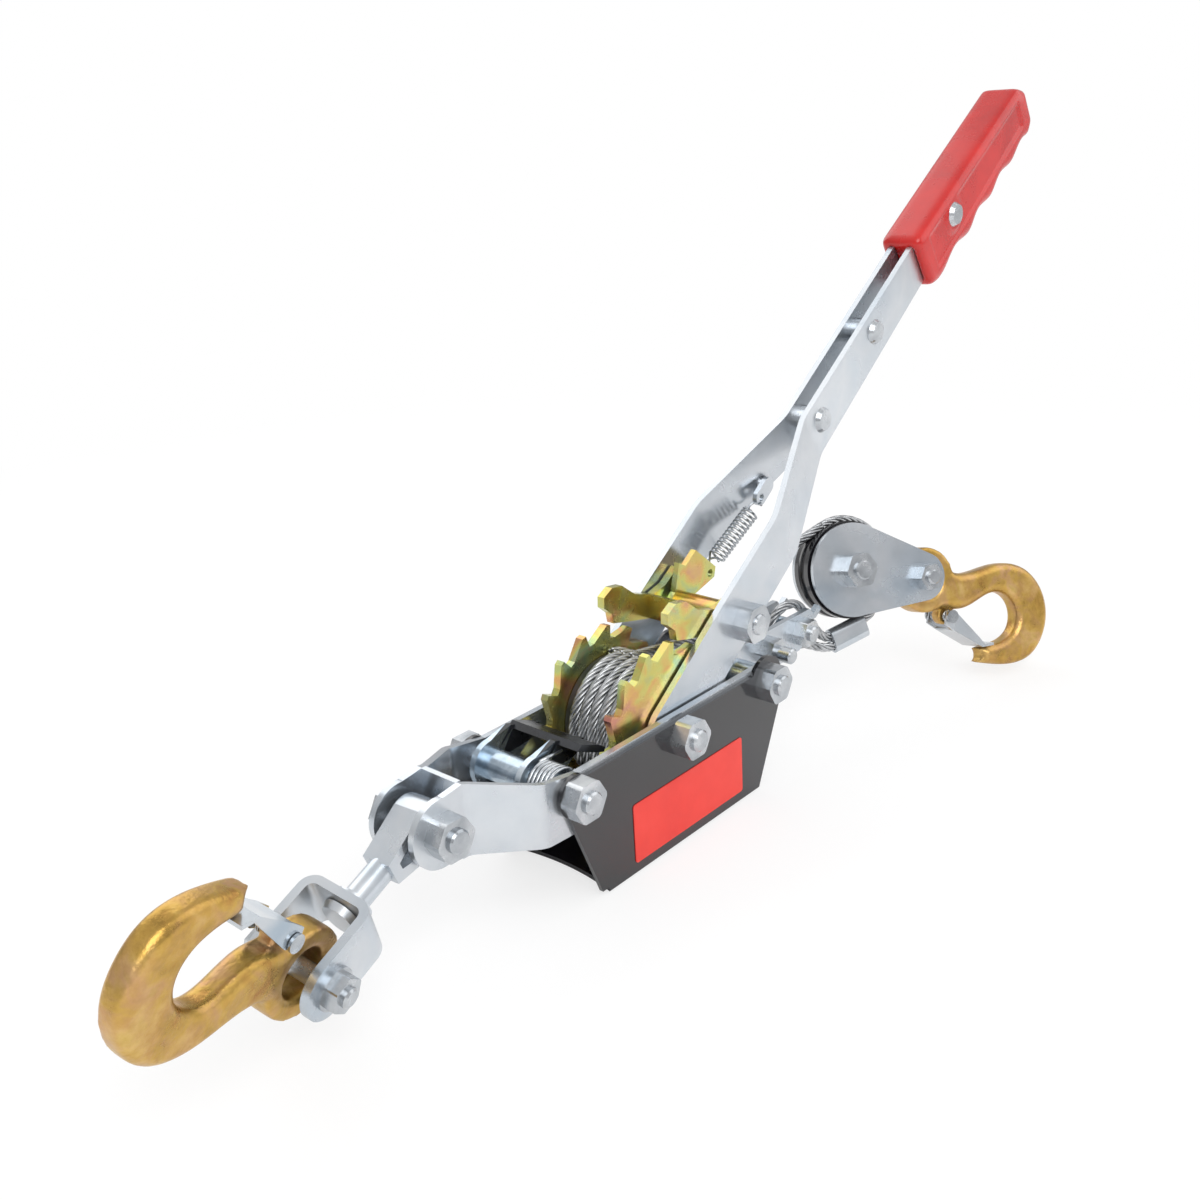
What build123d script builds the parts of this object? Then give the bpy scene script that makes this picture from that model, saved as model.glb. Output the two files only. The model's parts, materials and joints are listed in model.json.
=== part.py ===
"""Come along winch (hand ratchet cable puller) as separate named pieces, in millimetres.

X runs along the pull line, from the front hook (negative) to the pulley block (positive).
Y runs across the frame: the near side, with the nuts, is negative. Z is up, and z = 0 is the
underside of the housing, below the drum axle.
"""

import os
from math import cos, radians, sin, tan

from build123d import *

os.makedirs("parts", exist_ok=True)

# ---------------------------------------------------------------- driving sizes
AXLE_HEIGHT = 52.0            # drum axle above the housing underside
RUNNING_FIT = 0.05            # radial clearance of every turning fit
SEAT_GAP = 0.35               # clearance of loose seats and resting pawls

# fasteners
M10 = 10.0
M8 = 8.0
NUT_FLATS = {M10: 17.0, M8: 13.0}
NUT_HEIGHT = {M10: 8.4, M8: 6.8}
HEAD_HEIGHT = {M10: 6.4, M8: 5.3}
THREAD_STUB = 2.2             # thread that shows past a nut
EDGE_BREAK = 0.8              # chamfer on nuts and bolt ends

# frame
SIDE_PLATE = 3.0              # bright side plates
SIDE_PLATE_MIDDLE_Y = 27.0
STRAP_MIDDLE_Y = 11.5
JOGGLE_START_X = -87.0
JOGGLE_END_X = -112.0
JOGGLE_BEND = 9.0
HOUSING_WALL = 2.0
FRONT_BOLT = (-69.9, 1.6)     # x, and z above the axle
REAR_BOLT = (64.6, 1.6)
STRAP_BOLT = (-126.0, 5.7)
STRAP_END_RADIUS = 14.5
WEB_THICKNESS = 2.5
LABEL_LENGTH = 79.0
LABEL_HEIGHT = 28.5
LABEL_THICKNESS = 0.4
SPACER_RADIUS = 7.0

# drum
TEETH = 15
TOOTH_ANGLE = 78.0            # one steep tooth face, from +X towards +Z
WHEEL_TIP_RADIUS = 40.0
WHEEL_ROOT_RADIUS = 34.0
WHEEL_THICKNESS = 4.0
WHEEL_MIDDLE_Y = 18.5
TOOTH_TIP_FLAT = 3.5          # degrees of wheel tip left flat
HUB_RADIUS = 16.3
ROPE = 5.0                    # rope diameter
ROPE_LAYER = 27.8             # centre of the outer rope layer
ROPE_TURNS = 6                # turns side by side
ROPE_PITCH = 5.4
LEAVING_TURN = 3              # the turn, counted from the near side, that the rope leaves from

# handle
HANDLE_ANGLE = 35.3
ARM_THICKNESS = 3.0
ARM_LOW_Y = 23.0              # middle of each arm beside the wheels
ARM_HIGH_Y = 5.4              # and where the two run together
ARM_BEND_LOW = 113.0
ARM_BEND_HIGH = 174.0
ARM_BEND_RADIUS = 26.0
ARM_FOOT_RADIUS = 15.0
ARM_WIDTH = 27.0
ARM_LENGTH = 410.0
RIVET_PLACES = (184.8, 247.1)
RIVET_RADIUS = 4.0
RIVET_HEAD_RADIUS = 6.5
RIVET_HEAD = 2.2
GRIP_START = 299.0
GRIP_END = 440.0
GRIP_THICKNESS = 24.0
GRIP_ROUND = 4.0
GRIP_CORNER = 4.5
GRIP_RIVET_PLACE = 337.5
TAB_PLACE = (138.0, -8.0)     # spring tab on the far arm, along and across the handle

# drive pawl
PAWL_PIVOT = (55.8, 34.2)
PAWL_LIFT = 3.4               # degrees the pawl rests clear of the teeth
PAWL_TUBE_RADIUS = 7.0
PAWL_EAR_RADIUS = 10.0
PAWL_EAR_Y = 13.0
SPRING_WIRE = 1.6
SPRING_RADIUS = 4.0
SPRING_LOOP = 3.4              # radius of the loop at each end of the spring
TAB_Y = 9.0
TORSION_RADIUS = 9.6

# hold pawl
HOLD_TUBE_RADIUS = 7.0
HOLD_EAR_RADIUS = 11.0
HOLD_EAR_THICKNESS = 3.0
HOLD_NEAR_Y = -7.5
HOLD_FAR_Y = 19.0

# front chain
FRONT_DROOP = 21.0            # the swivel eye and clevis hang this far below level
FRONT_TURN = 5.0              # and are turned this far to the near side
FRONT_ROLL = 14.0             # the clevis bolt leans down this far on the near side
EYE_STRIP = 3.0
EYE_WIDTH = 14.0
EYE_INNER_RADIUS = 7.6
SHANK_RADIUS = 5.5
SWIVEL_LENGTH = 42.0          # strap bolt to clevis base
CLEVIS_PLATE = 3.5
CLEVIS_HALF_WIDTH = 15.75
CLEVIS_PLATE_WIDTH = 26.0
CLEVIS_LENGTH = 28.0          # base to clevis bolt
CLEVIS_BEND = 5.0
FRONT_HOOK_ANGLE = 59.0

# hooks, both the same forging
HOOK_THICKNESS = 14.0
HOOK_EYE_RADIUS = 18.0
HOOK_EYE_HOLE = 9.5
HOOK_BEVEL = 2.8
HOOK_EYE_BEVEL = 1.8
HOOK_POINT_RADIUS = 3.95
LATCH_PIN = (21.0, 13.0)      # along the load line, and towards the point
LATCH_PIN_RADIUS = 2.0
LATCH_LUG_RADIUS = 5.0
LATCH_LUG_HALF = 3.5
LATCH_SHEET = 1.4

# pulley block
BLOCK_CENTRE = (168.2, -8.8, 22.3)   # sheave centre, z above the axle
BLOCK_TURN = 24.0
BLOCK_LEAN = 16.0
CHEEK_PLATE = 2.5
CHEEK_MIDDLE = 9.25
CHEEK_BIG_RADIUS = 25.0
CHEEK_SMALL_RADIUS = 13.0
HOOK_BOLT_PLACE = (44.0, -12.2)
REAR_HOOK_ANGLE = -33.0
SHEAVE_RADIUS = 26.0
SHEAVE_WIDTH = 13.0
SHEAVE_ROPE_RADIUS = 26.8
WRAP_START = -25.0
WRAP_END = 110.0

# rope anchor
ANCHOR_BOLTS = ((93.0, 3.0), (123.0, 3.0))
ANCHOR_STUB = (8.7, 2.2)
ANCHOR_PLATE = 3.0
ANCHOR_MIDDLE_Y = 10.0
BUSH_RADIUS = 5.2
EYE_LOOP_RADIUS = 12.5
EYE_LOOP_TURN = 16.0
FERRULE_START = (-14.0, -36.45)      # in the block's own plane
FERRULE_TURN = 12.0
FERRULE_LENGTH = 22.0
FERRULE_WALL = 1.4
FERRULE_RIDGE = 0.4           # metal left between the two strands
UPPER_ROPE_BENDS = ((58.0, 3.6, 18.5), (110.0, 8.0, 24.0))
UPPER_ROPE_LEAD = 20.0        # straight run on to the sheave
UPPER_ROPE_RADII = (60.0, 60.0, 40.0)

# ---------------------------------------------------------------- worked out sizes
wheel_inner_y = WHEEL_MIDDLE_Y - WHEEL_THICKNESS / 2
side_plate_inner_y = SIDE_PLATE_MIDDLE_Y - SIDE_PLATE / 2
side_plate_outer_y = SIDE_PLATE_MIDDLE_Y + SIDE_PLATE / 2
housing_outer_y = side_plate_outer_y + HOUSING_WALL
strap_inner_y = STRAP_MIDDLE_Y - SIDE_PLATE / 2
strap_outer_y = STRAP_MIDDLE_Y + SIDE_PLATE / 2
arm_outer_y = ARM_LOW_Y + ARM_THICKNESS / 2
arm_high_outer_y = ARM_HIGH_Y + ARM_THICKNESS / 2
rope_radius = ROPE / 2


# ---------------------------------------------------------------- planes and helpers
def across(y=0.0, at=(0.0, 0.0)):
    """Side view plane at y: local x is rearwards, local y is up, from the drum axle."""
    return Plane(origin=(at[0], y, AXLE_HEIGHT + at[1]), x_dir=(1, 0, 0), z_dir=(0, -1, 0))


def handle_plane(y=0.0):
    """Side view plane of the handle: local x runs up the handle from the axle."""
    along = (cos(radians(HANDLE_ANGLE)), 0, sin(radians(HANDLE_ANGLE)))
    return Plane(origin=(0, y, AXLE_HEIGHT), x_dir=along, z_dir=(0, -1, 0))


def turned(plane, angle, place=(0.0, 0.0)):
    """The same plane moved to a local place and turned about its own normal."""
    x_dir = plane.x_dir * cos(radians(angle)) + plane.y_dir * sin(radians(angle))
    origin = plane.origin + plane.x_dir * place[0] + plane.y_dir * place[1]
    return Plane(origin=origin, x_dir=x_dir, z_dir=plane.z_dir)


def save(builder, node):
    """Label the finished piece and write its STEP file."""
    builder.part.label = node
    export_step(builder.part, f"parts/{node}.step")


def bolt(plane, size, head_face, stub_end):
    """Hex bolt along the plane's normal, with its head seat and its threaded end in local z."""
    with BuildPart() as made:
        with BuildSketch(plane.offset(head_face)):
            RegularPolygon(NUT_FLATS[size] / 2, 6, major_radius=False)
        extrude(amount=-HEAD_HEIGHT[size])
        with BuildSketch(plane.offset(head_face)):
            Circle(size / 2)
        extrude(amount=stub_end - head_face)
        ends = made.edges().filter_by(GeomType.CIRCLE).sort_by(Axis(plane.origin, plane.z_dir))
        chamfer(ends[-1], EDGE_BREAK)
    return made.part


def nut(plane, size, seat, height=None, flange=0.0):
    """Hex nut on the plane's normal, sitting on local z = seat."""
    tall = height or NUT_HEIGHT[size]
    with BuildPart() as made:
        with BuildSketch(plane.offset(seat)):
            RegularPolygon(NUT_FLATS[size] / 2, 6, major_radius=False)
        extrude(amount=tall)
        with BuildSketch(plane.offset(seat)):
            Circle(NUT_FLATS[size] / 2 + EDGE_BREAK)
        extrude(amount=tall, taper=0, mode=Mode.INTERSECT)
        if flange:
            with BuildSketch(plane.offset(seat)):
                Circle(flange)
            extrude(amount=1.6)
        with BuildSketch(plane.offset(seat)):
            Circle(size / 2)
        extrude(amount=tall, mode=Mode.SUBTRACT)
    return made.part


def group(node, pieces):
    """Write several like pieces as one node."""
    with BuildPart() as made:
        for piece in pieces:
            add(piece)
    save(made, node)


# ---------------------------------------------------------------- frame: side plates
plate_length_x = 77.0
for tag, side in (("near", -1), ("far", 1)):
    with BuildPart() as side_plate:
        with BuildSketch(Plane.XY):
            with BuildLine():
                FilletPolyline(
                    (plate_length_x, side * SIDE_PLATE_MIDDLE_Y),
                    (JOGGLE_START_X, side * SIDE_PLATE_MIDDLE_Y),
                    (JOGGLE_END_X, side * STRAP_MIDDLE_Y),
                    (STRAP_BOLT[0] - STRAP_END_RADIUS - 2, side * STRAP_MIDDLE_Y),
                    radius=JOGGLE_BEND,
                )
            trace(line_width=SIDE_PLATE)
        extrude(amount=AXLE_HEIGHT * 2)
        with BuildSketch(across(60)):
            with BuildLine():
                Polyline(
                    (STRAP_BOLT[0] + 4, STRAP_BOLT[1] - STRAP_END_RADIUS),
                    (-84, -15.5), (-60, -17), (60, -17), (72, -12), (72, 10), (-66, 10),
                    (-84, 13), (-102, 18), (-114, 21.5),
                    (STRAP_BOLT[0] + 2, STRAP_BOLT[1] + STRAP_END_RADIUS),
                    close=True,
                )
            make_face()
            with Locations(STRAP_BOLT):
                Circle(STRAP_END_RADIUS)
        extrude(amount=120, mode=Mode.INTERSECT)
        with BuildSketch(across(60)):
            with Locations(FRONT_BOLT, REAR_BOLT, STRAP_BOLT, (0, 0)):
                Circle(M10 / 2)
        extrude(amount=120, mode=Mode.SUBTRACT)
    save(side_plate, f"side_plate_{tag}")

# ---------------------------------------------------------------- frame: housing shell
housing_outline = (
    (-57.0, -AXLE_HEIGHT), (57.2, -AXLE_HEIGHT), (75.0, -13.0), (77.0, 1.6),
    (REAR_BOLT[0], 8.0), (FRONT_BOLT[0], 8.0), (-77.5, 1.6),
)
with BuildPart() as housing:
    with BuildSketch(across(housing_outer_y)):
        with BuildLine():
            Polyline(*housing_outline, close=True)
        make_face()
        with Locations(FRONT_BOLT):
            Circle(9.5)
        with Locations(REAR_BOLT):
            Circle(12.5)
    extrude(amount=housing_outer_y * 2)
    with BuildSketch(across(side_plate_outer_y)):
        with Locations((0, HOUSING_WALL)):
            Rectangle(220, AXLE_HEIGHT * 2, align=(Align.CENTER, Align.CENTER))
        with Locations((0, -AXLE_HEIGHT)):
            Rectangle(220, HOUSING_WALL, align=(Align.CENTER, Align.MIN), mode=Mode.SUBTRACT)
    extrude(amount=side_plate_outer_y * 2, mode=Mode.SUBTRACT)
    with BuildSketch(Plane.XY):
        with Locations((-57 - 118, 0)):
            Circle(125)
    extrude(amount=HOUSING_WALL, mode=Mode.SUBTRACT)
    with BuildSketch(across(60)):
        with Locations(FRONT_BOLT, REAR_BOLT, (0, 0)):
            Circle(M10 / 2)
    extrude(amount=120, mode=Mode.SUBTRACT)
save(housing, "housing")

with BuildPart() as label_panel:
    with BuildSketch(across(-housing_outer_y)):
        with Locations((3.5, -33.0)):
            RectangleRounded(LABEL_LENGTH, LABEL_HEIGHT, 1.5)
    extrude(amount=LABEL_THICKNESS)
save(label_panel, "label_panel")

with BuildPart() as strap_web:
    with BuildSketch(Plane.YZ.offset(JOGGLE_END_X - WEB_THICKNESS)):
        with Locations((0, AXLE_HEIGHT + 4.5)):
            Rectangle(2 * strap_inner_y, 34)
    extrude(amount=WEB_THICKNESS)
save(strap_web, "strap_web")

# ---------------------------------------------------------------- frame: bolts and nuts
frame_places = (FRONT_BOLT, (0.0, 0.0), REAR_BOLT)
frame_names = ("front_bolt", "axle_bolt", "rear_bolt")
for place, node in zip(frame_places, frame_names):
    with BuildPart() as frame_bolt:
        add(bolt(across(0, place), M10, -housing_outer_y,
                 housing_outer_y + NUT_HEIGHT[M10] + THREAD_STUB))
    save(frame_bolt, node)
group("frame_nuts", [nut(across(0, place), M10, housing_outer_y) for place in frame_places])

with BuildPart() as strap_bolt:
    add(bolt(across(0, STRAP_BOLT), M10, -strap_outer_y,
             strap_outer_y + NUT_HEIGHT[M10] + THREAD_STUB))
save(strap_bolt, "strap_bolt")
with BuildPart() as strap_nut:
    add(nut(across(0, STRAP_BOLT), M10, strap_outer_y))
save(strap_nut, "strap_nut")

with BuildPart() as rear_spacer:
    with BuildSketch(across(side_plate_inner_y, REAR_BOLT)):
        Circle(SPACER_RADIUS)
        Circle(M10 / 2, mode=Mode.SUBTRACT)
    extrude(amount=2 * side_plate_inner_y)
save(rear_spacer, "rear_spacer")

# ---------------------------------------------------------------- frame: rope anchor
for tag, side in (("near", -1), ("far", 1)):
    with BuildPart() as anchor_plate:
        with BuildSketch(across(side * ANCHOR_MIDDLE_Y)):
            with BuildLine():
                Polyline(
                    (60, -8), (122, -7.5), (129, -4), (132, 5.2), (137.5, 5.6), (142.6, 8.6),
                    (140.4, 11.6), (135.2, 8.4), (131.4, 12.5), (122, 12.5), (90, 13), (64, 12),
                    close=True,
                )
            make_face()
            with Locations(REAR_BOLT):
                Circle(11)
                Circle(SPACER_RADIUS, mode=Mode.SUBTRACT)
            with Locations(*ANCHOR_BOLTS):
                Circle(M8 / 2, mode=Mode.SUBTRACT)
        extrude(amount=ANCHOR_PLATE / 2, both=True)
    save(anchor_plate, f"anchor_plate_{tag}")

anchor_outer_y = ANCHOR_MIDDLE_Y + ANCHOR_PLATE / 2
anchor_inner_y = ANCHOR_MIDDLE_Y - ANCHOR_PLATE / 2
group("anchor_bolts", [
    bolt(across(0, place), M8, -anchor_outer_y, anchor_outer_y + NUT_HEIGHT[M8] + stub)
    for place, stub in zip(ANCHOR_BOLTS, ANCHOR_STUB)
])
group("anchor_nuts", [nut(across(0, place), M8, anchor_outer_y) for place in ANCHOR_BOLTS])

with BuildPart() as anchor_bush:
    with BuildSketch(across(anchor_inner_y, ANCHOR_BOLTS[1])):
        Circle(BUSH_RADIUS)
        Circle(M8 / 2, mode=Mode.SUBTRACT)
    extrude(amount=2 * anchor_inner_y)
save(anchor_bush, "anchor_bush")

# ---------------------------------------------------------------- block plane and ropes
block_x = Vector(cos(radians(BLOCK_TURN)), -sin(radians(BLOCK_TURN)), 0)
block_level = Vector(-sin(radians(BLOCK_TURN)), -cos(radians(BLOCK_TURN)), 0)
block_n = block_level * cos(radians(BLOCK_LEAN)) + Vector(0, 0, 1) * sin(radians(BLOCK_LEAN))
block_origin = Vector(BLOCK_CENTRE[0], BLOCK_CENTRE[1], BLOCK_CENTRE[2] + AXLE_HEIGHT)
block = Plane(origin=block_origin, x_dir=block_x, z_dir=block_n)


def at(plane, x, y, z=0.0):
    """World point of a plane's local point."""
    return plane.origin + plane.x_dir * x + plane.y_dir * y + plane.z_dir * z


def ring_point(radius, angle):
    """Local point on a circle about a plane's origin."""
    return (radius * cos(radians(angle)), radius * sin(radians(angle)))


def bent_wire(points, radii):
    """Straight runs through the points, with a tangent arc at each inner corner."""
    pieces = []
    start = points[0]
    for corner, following, radius in zip(points[1:-1], points[2:], radii):
        back = (start - corner).normalized()
        ahead = (following - corner).normalized()
        half = radians(back.get_angle(ahead)) / 2
        reach = radius / tan(half)
        middle = (back + ahead).normalized()
        first = corner + back * reach
        last = corner + ahead * reach
        through = corner + middle * (radius / sin(half) - radius)
        pieces.append(Edge.make_line(start, first))
        pieces.append(Edge.make_three_point_arc(first, through, last))
        start = last
    pieces.append(Edge.make_line(start, points[-1]))
    return Wire(pieces)


def round_bar(wire, radius):
    """Solid round bar along a wire."""
    with BuildPart() as made:
        with BuildSketch(Plane(origin=wire @ 0, z_dir=wire % 0)):
            Circle(radius)
        sweep(path=wire)
    return made.part


ferrule_run = turned(block, FERRULE_TURN, FERRULE_START)
strand_offset = rope_radius + FERRULE_RIDGE / 2
live_start = at(ferrule_run, 0, strand_offset)
live_end = at(ferrule_run, FERRULE_LENGTH, strand_offset)
tail_end = at(ferrule_run, FERRULE_LENGTH, -strand_offset)
tail_start = at(ferrule_run, 0, -strand_offset)
with BuildPart() as ferrule:
    ferrule_end = Plane(origin=ferrule_run.origin, x_dir=ferrule_run.y_dir, z_dir=ferrule_run.x_dir)
    with BuildSketch(ferrule_end):
        SlotCenterToCenter(2 * strand_offset, 2 * (rope_radius + FERRULE_WALL))
        with Locations((strand_offset, 0), (-strand_offset, 0)):
            Circle(rope_radius, mode=Mode.SUBTRACT)
    extrude(amount=FERRULE_LENGTH)
save(ferrule, "ferrule")

# eye loop round the bush, in an upright plane turned towards the block
loop_x = Vector(cos(radians(EYE_LOOP_TURN)), -sin(radians(EYE_LOOP_TURN)), 0)
loop_reach = EYE_LOOP_RADIUS - rope_radius - BUSH_RADIUS - SEAT_GAP
loop_middle = Vector(ANCHOR_BOLTS[1][0], 0, ANCHOR_BOLTS[1][1] + AXLE_HEIGHT) + loop_x * loop_reach
loop_middle = loop_middle - Vector(0, 0, 1.5)
loop = Plane(origin=loop_middle, x_dir=loop_x, z_dir=Vector(0, 0, 1).cross(loop_x) * -1)
leg_top = at(loop, *ring_point(EYE_LOOP_RADIUS, 75))
leg_bottom = at(loop, *ring_point(EYE_LOOP_RADIUS, -75))
loop_front = at(loop, -EYE_LOOP_RADIUS, 0)
entry = ferrule_run.x_dir


def tangent_curve(start, start_dir, end, end_dir, pull):
    """Smooth edge between two points with the given directions."""
    return Edge.make_bezier(start, start + start_dir * pull, end - end_dir * pull, end)


top_dir = loop.x_dir * sin(radians(75)) - loop.y_dir * cos(radians(75))
bottom_dir = loop.x_dir * sin(radians(75)) + loop.y_dir * cos(radians(75))
eye_wire = Wire([
    Edge.make_line(live_end, live_start),
    tangent_curve(live_start, entry * -1, leg_top, top_dir * -1, 9),
    Edge.make_three_point_arc(leg_top, loop_front, leg_bottom),
    tangent_curve(leg_bottom, bottom_dir, tail_start, entry, 9),
    Edge.make_line(tail_start, tail_end),
])
with BuildPart() as rope_eye:
    add(round_bar(eye_wire, rope_radius))
save(rope_eye, "rope_eye")

# lower fall: from the ferrule on to the sheave
wrap_first = at(block, *ring_point(SHEAVE_ROPE_RADIUS, WRAP_START))
wrap_first_dir = block.y_dir * cos(radians(WRAP_START)) - block.x_dir * sin(radians(WRAP_START))
lower_wire = Wire([tangent_curve(live_end, entry, wrap_first, wrap_first_dir, 8.5)])
with BuildPart() as rope_lower:
    add(round_bar(lower_wire, rope_radius))
save(rope_lower, "rope_lower")

with BuildPart() as rope_wrap:
    wrap_last = at(block, *ring_point(SHEAVE_ROPE_RADIUS, WRAP_END))
    wrap_top = at(block, *ring_point(SHEAVE_ROPE_RADIUS, (WRAP_START + WRAP_END) / 2))
    add(round_bar(Wire([Edge.make_three_point_arc(wrap_first, wrap_top, wrap_last)]), rope_radius))
save(rope_wrap, "rope_wrap")

# upper fall: from the top of the drum, under the pawl tube, to the top of the sheave
leaving_y = (LEAVING_TURN - (ROPE_TURNS - 1) / 2) * ROPE_PITCH
leaving_angle = 80.5
leaving_radius = ROPE_LAYER + SEAT_GAP
leaving = Vector(leaving_radius * cos(radians(leaving_angle)), leaving_y,
                 leaving_radius * sin(radians(leaving_angle)) + AXLE_HEIGHT)
upper_points = [leaving]
upper_points += [Vector(x, y, z + AXLE_HEIGHT) for x, y, z in UPPER_ROPE_BENDS]
wrap_last_dir = block.y_dir * cos(radians(WRAP_END)) - block.x_dir * sin(radians(WRAP_END))
upper_points += [wrap_last + wrap_last_dir * UPPER_ROPE_LEAD, wrap_last]
with BuildPart() as rope_upper:
    add(round_bar(bent_wire(upper_points, UPPER_ROPE_RADII), rope_radius))
save(rope_upper, "rope_upper")

# ---------------------------------------------------------------- drum
tooth_step = 360 / TEETH
for tag, side in (("near", -1), ("far", 1)):
    with BuildPart() as wheel:
        with BuildSketch(across(side * WHEEL_MIDDLE_Y)):
            with BuildLine():
                outline = []
                for tooth in range(TEETH):
                    face = TOOTH_ANGLE + tooth * tooth_step
                    outline.append(ring_point(WHEEL_ROOT_RADIUS, face - 1.5))
                    outline.append(ring_point(WHEEL_TIP_RADIUS, face))
                    outline.append(ring_point(WHEEL_TIP_RADIUS, face + TOOTH_TIP_FLAT))
                    outline.append(ring_point(WHEEL_ROOT_RADIUS, face + tooth_step * 0.72))
                Polyline(*outline, close=True)
            make_face()
            Circle(M10 / 2 + RUNNING_FIT, mode=Mode.SUBTRACT)
        extrude(amount=WHEEL_THICKNESS / 2, both=True)
    save(wheel, f"wheel_{tag}")

with BuildPart() as drum_core:
    with BuildSketch(across(wheel_inner_y)):
        Circle(HUB_RADIUS)
        Circle(M10 / 2 + RUNNING_FIT, mode=Mode.SUBTRACT)
    extrude(amount=2 * wheel_inner_y)
save(drum_core, "drum_core")

pack_base = ROPE_LAYER - rope_radius * 0.9
with BuildPart() as rope_pack:
    with BuildSketch(across(wheel_inner_y - SEAT_GAP)):
        Circle(pack_base)
        Circle(HUB_RADIUS, mode=Mode.SUBTRACT)
    extrude(amount=2 * (wheel_inner_y - SEAT_GAP))
    for turn in range(ROPE_TURNS):
        turn_y = (turn - (ROPE_TURNS - 1) / 2) * ROPE_PITCH
        sweep_angle = 290 if turn == LEAVING_TURN else 360
        section = Plane(
            origin=(ROPE_LAYER * cos(radians(leaving_angle + 2)), turn_y,
                    AXLE_HEIGHT + ROPE_LAYER * sin(radians(leaving_angle + 2))),
            x_dir=(cos(radians(leaving_angle + 2)), 0, sin(radians(leaving_angle + 2))),
            z_dir=(-sin(radians(leaving_angle + 2)), 0, cos(radians(leaving_angle + 2))),
        )
        with BuildSketch(section):
            Circle(rope_radius)
        revolve(axis=Axis((0, 0, AXLE_HEIGHT), (0, -1, 0)), revolution_arc=sweep_angle)
    with BuildSketch(across(wheel_inner_y)):
        Circle(HUB_RADIUS)
    extrude(amount=2 * wheel_inner_y, mode=Mode.SUBTRACT)
save(rope_pack, "rope_pack")

# ---------------------------------------------------------------- handle
along = Vector(cos(radians(HANDLE_ANGLE)), 0, sin(radians(HANDLE_ANGLE)))
aside = Vector(-sin(radians(HANDLE_ANGLE)), 0, cos(radians(HANDLE_ANGLE)))
handle_plan = Plane(origin=(0, 0, AXLE_HEIGHT), x_dir=along, z_dir=aside)
pawl_along = PAWL_PIVOT[0] * cos(radians(HANDLE_ANGLE)) + PAWL_PIVOT[1] * sin(radians(HANDLE_ANGLE))
pawl_aside = PAWL_PIVOT[1] * cos(radians(HANDLE_ANGLE)) - PAWL_PIVOT[0] * sin(radians(HANDLE_ANGLE))
for tag, side in (("near", -1), ("far", 1)):
    with BuildPart() as arm:
        with BuildSketch(handle_plan.offset(-40)):
            with BuildLine():
                FilletPolyline(
                    (-30, side * ARM_LOW_Y),
                    (ARM_BEND_LOW, side * ARM_LOW_Y),
                    (ARM_BEND_HIGH, side * ARM_HIGH_Y),
                    (ARM_LENGTH, side * ARM_HIGH_Y),
                    radius=ARM_BEND_RADIUS,
                )
            trace(line_width=ARM_THICKNESS)
        extrude(amount=80)
        with BuildSketch(handle_plane(40)):
            with Locations((0, 0)):
                Circle(ARM_FOOT_RADIUS)
            with BuildLine():
                Polyline(
                    (0, ARM_FOOT_RADIUS), (60, ARM_WIDTH / 2 + 2), (ARM_BEND_LOW, ARM_WIDTH / 2 + 1),
                    (ARM_BEND_HIGH, ARM_WIDTH / 2), (ARM_LENGTH - 60, 10.5), (ARM_LENGTH, 7),
                    (ARM_LENGTH, -9), (ARM_LENGTH - 100, -ARM_WIDTH / 2 + 1.5),
                    (60, -ARM_WIDTH / 2), (0, -ARM_FOOT_RADIUS),
                    close=True,
                )
            make_face()
        extrude(amount=80, mode=Mode.INTERSECT)
        with BuildSketch(handle_plane(40)):
            Circle(M10 / 2 + RUNNING_FIT)
            with Locations((pawl_along, pawl_aside)):
                Circle(M10 / 2)
            with Locations(*[(place, 1.0) for place in RIVET_PLACES + (GRIP_RIVET_PLACE,)]):
                Circle(RIVET_RADIUS)
        extrude(amount=80, mode=Mode.SUBTRACT)
    save(arm, f"arm_{tag}")


def rivet(place, head_y, head_radius=RIVET_HEAD_RADIUS):
    """Domed rivet across both arms, with its heads on |y| = head_y."""
    with BuildPart() as made:
        with BuildSketch(handle_plane(head_y)):
            with Locations((place, 1.0)):
                Circle(RIVET_RADIUS)
        extrude(amount=2 * head_y)
        for seat, lift in ((-head_y, RIVET_HEAD), (head_y, -RIVET_HEAD)):
            with BuildSketch(handle_plane(seat)):
                with Locations((place, 1.0)):
                    Circle(head_radius)
            extrude(amount=lift, taper=32)
    return made.part


group("arm_rivets", [rivet(place, arm_high_outer_y) for place in RIVET_PLACES])
with BuildPart() as grip_rivet:
    add(rivet(GRIP_RIVET_PLACE, GRIP_THICKNESS / 2))
save(grip_rivet, "grip_rivet")

with BuildPart() as arm_spacers:
    for place in RIVET_PLACES:
        with BuildSketch(handle_plane(ARM_HIGH_Y - ARM_THICKNESS / 2)):
            with Locations((place, 1.0)):
                Circle(RIVET_RADIUS + 2.5)
                Circle(RIVET_RADIUS, mode=Mode.SUBTRACT)
        extrude(amount=2 * ARM_HIGH_Y - ARM_THICKNESS)
save(arm_spacers, "arm_spacers")

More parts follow.
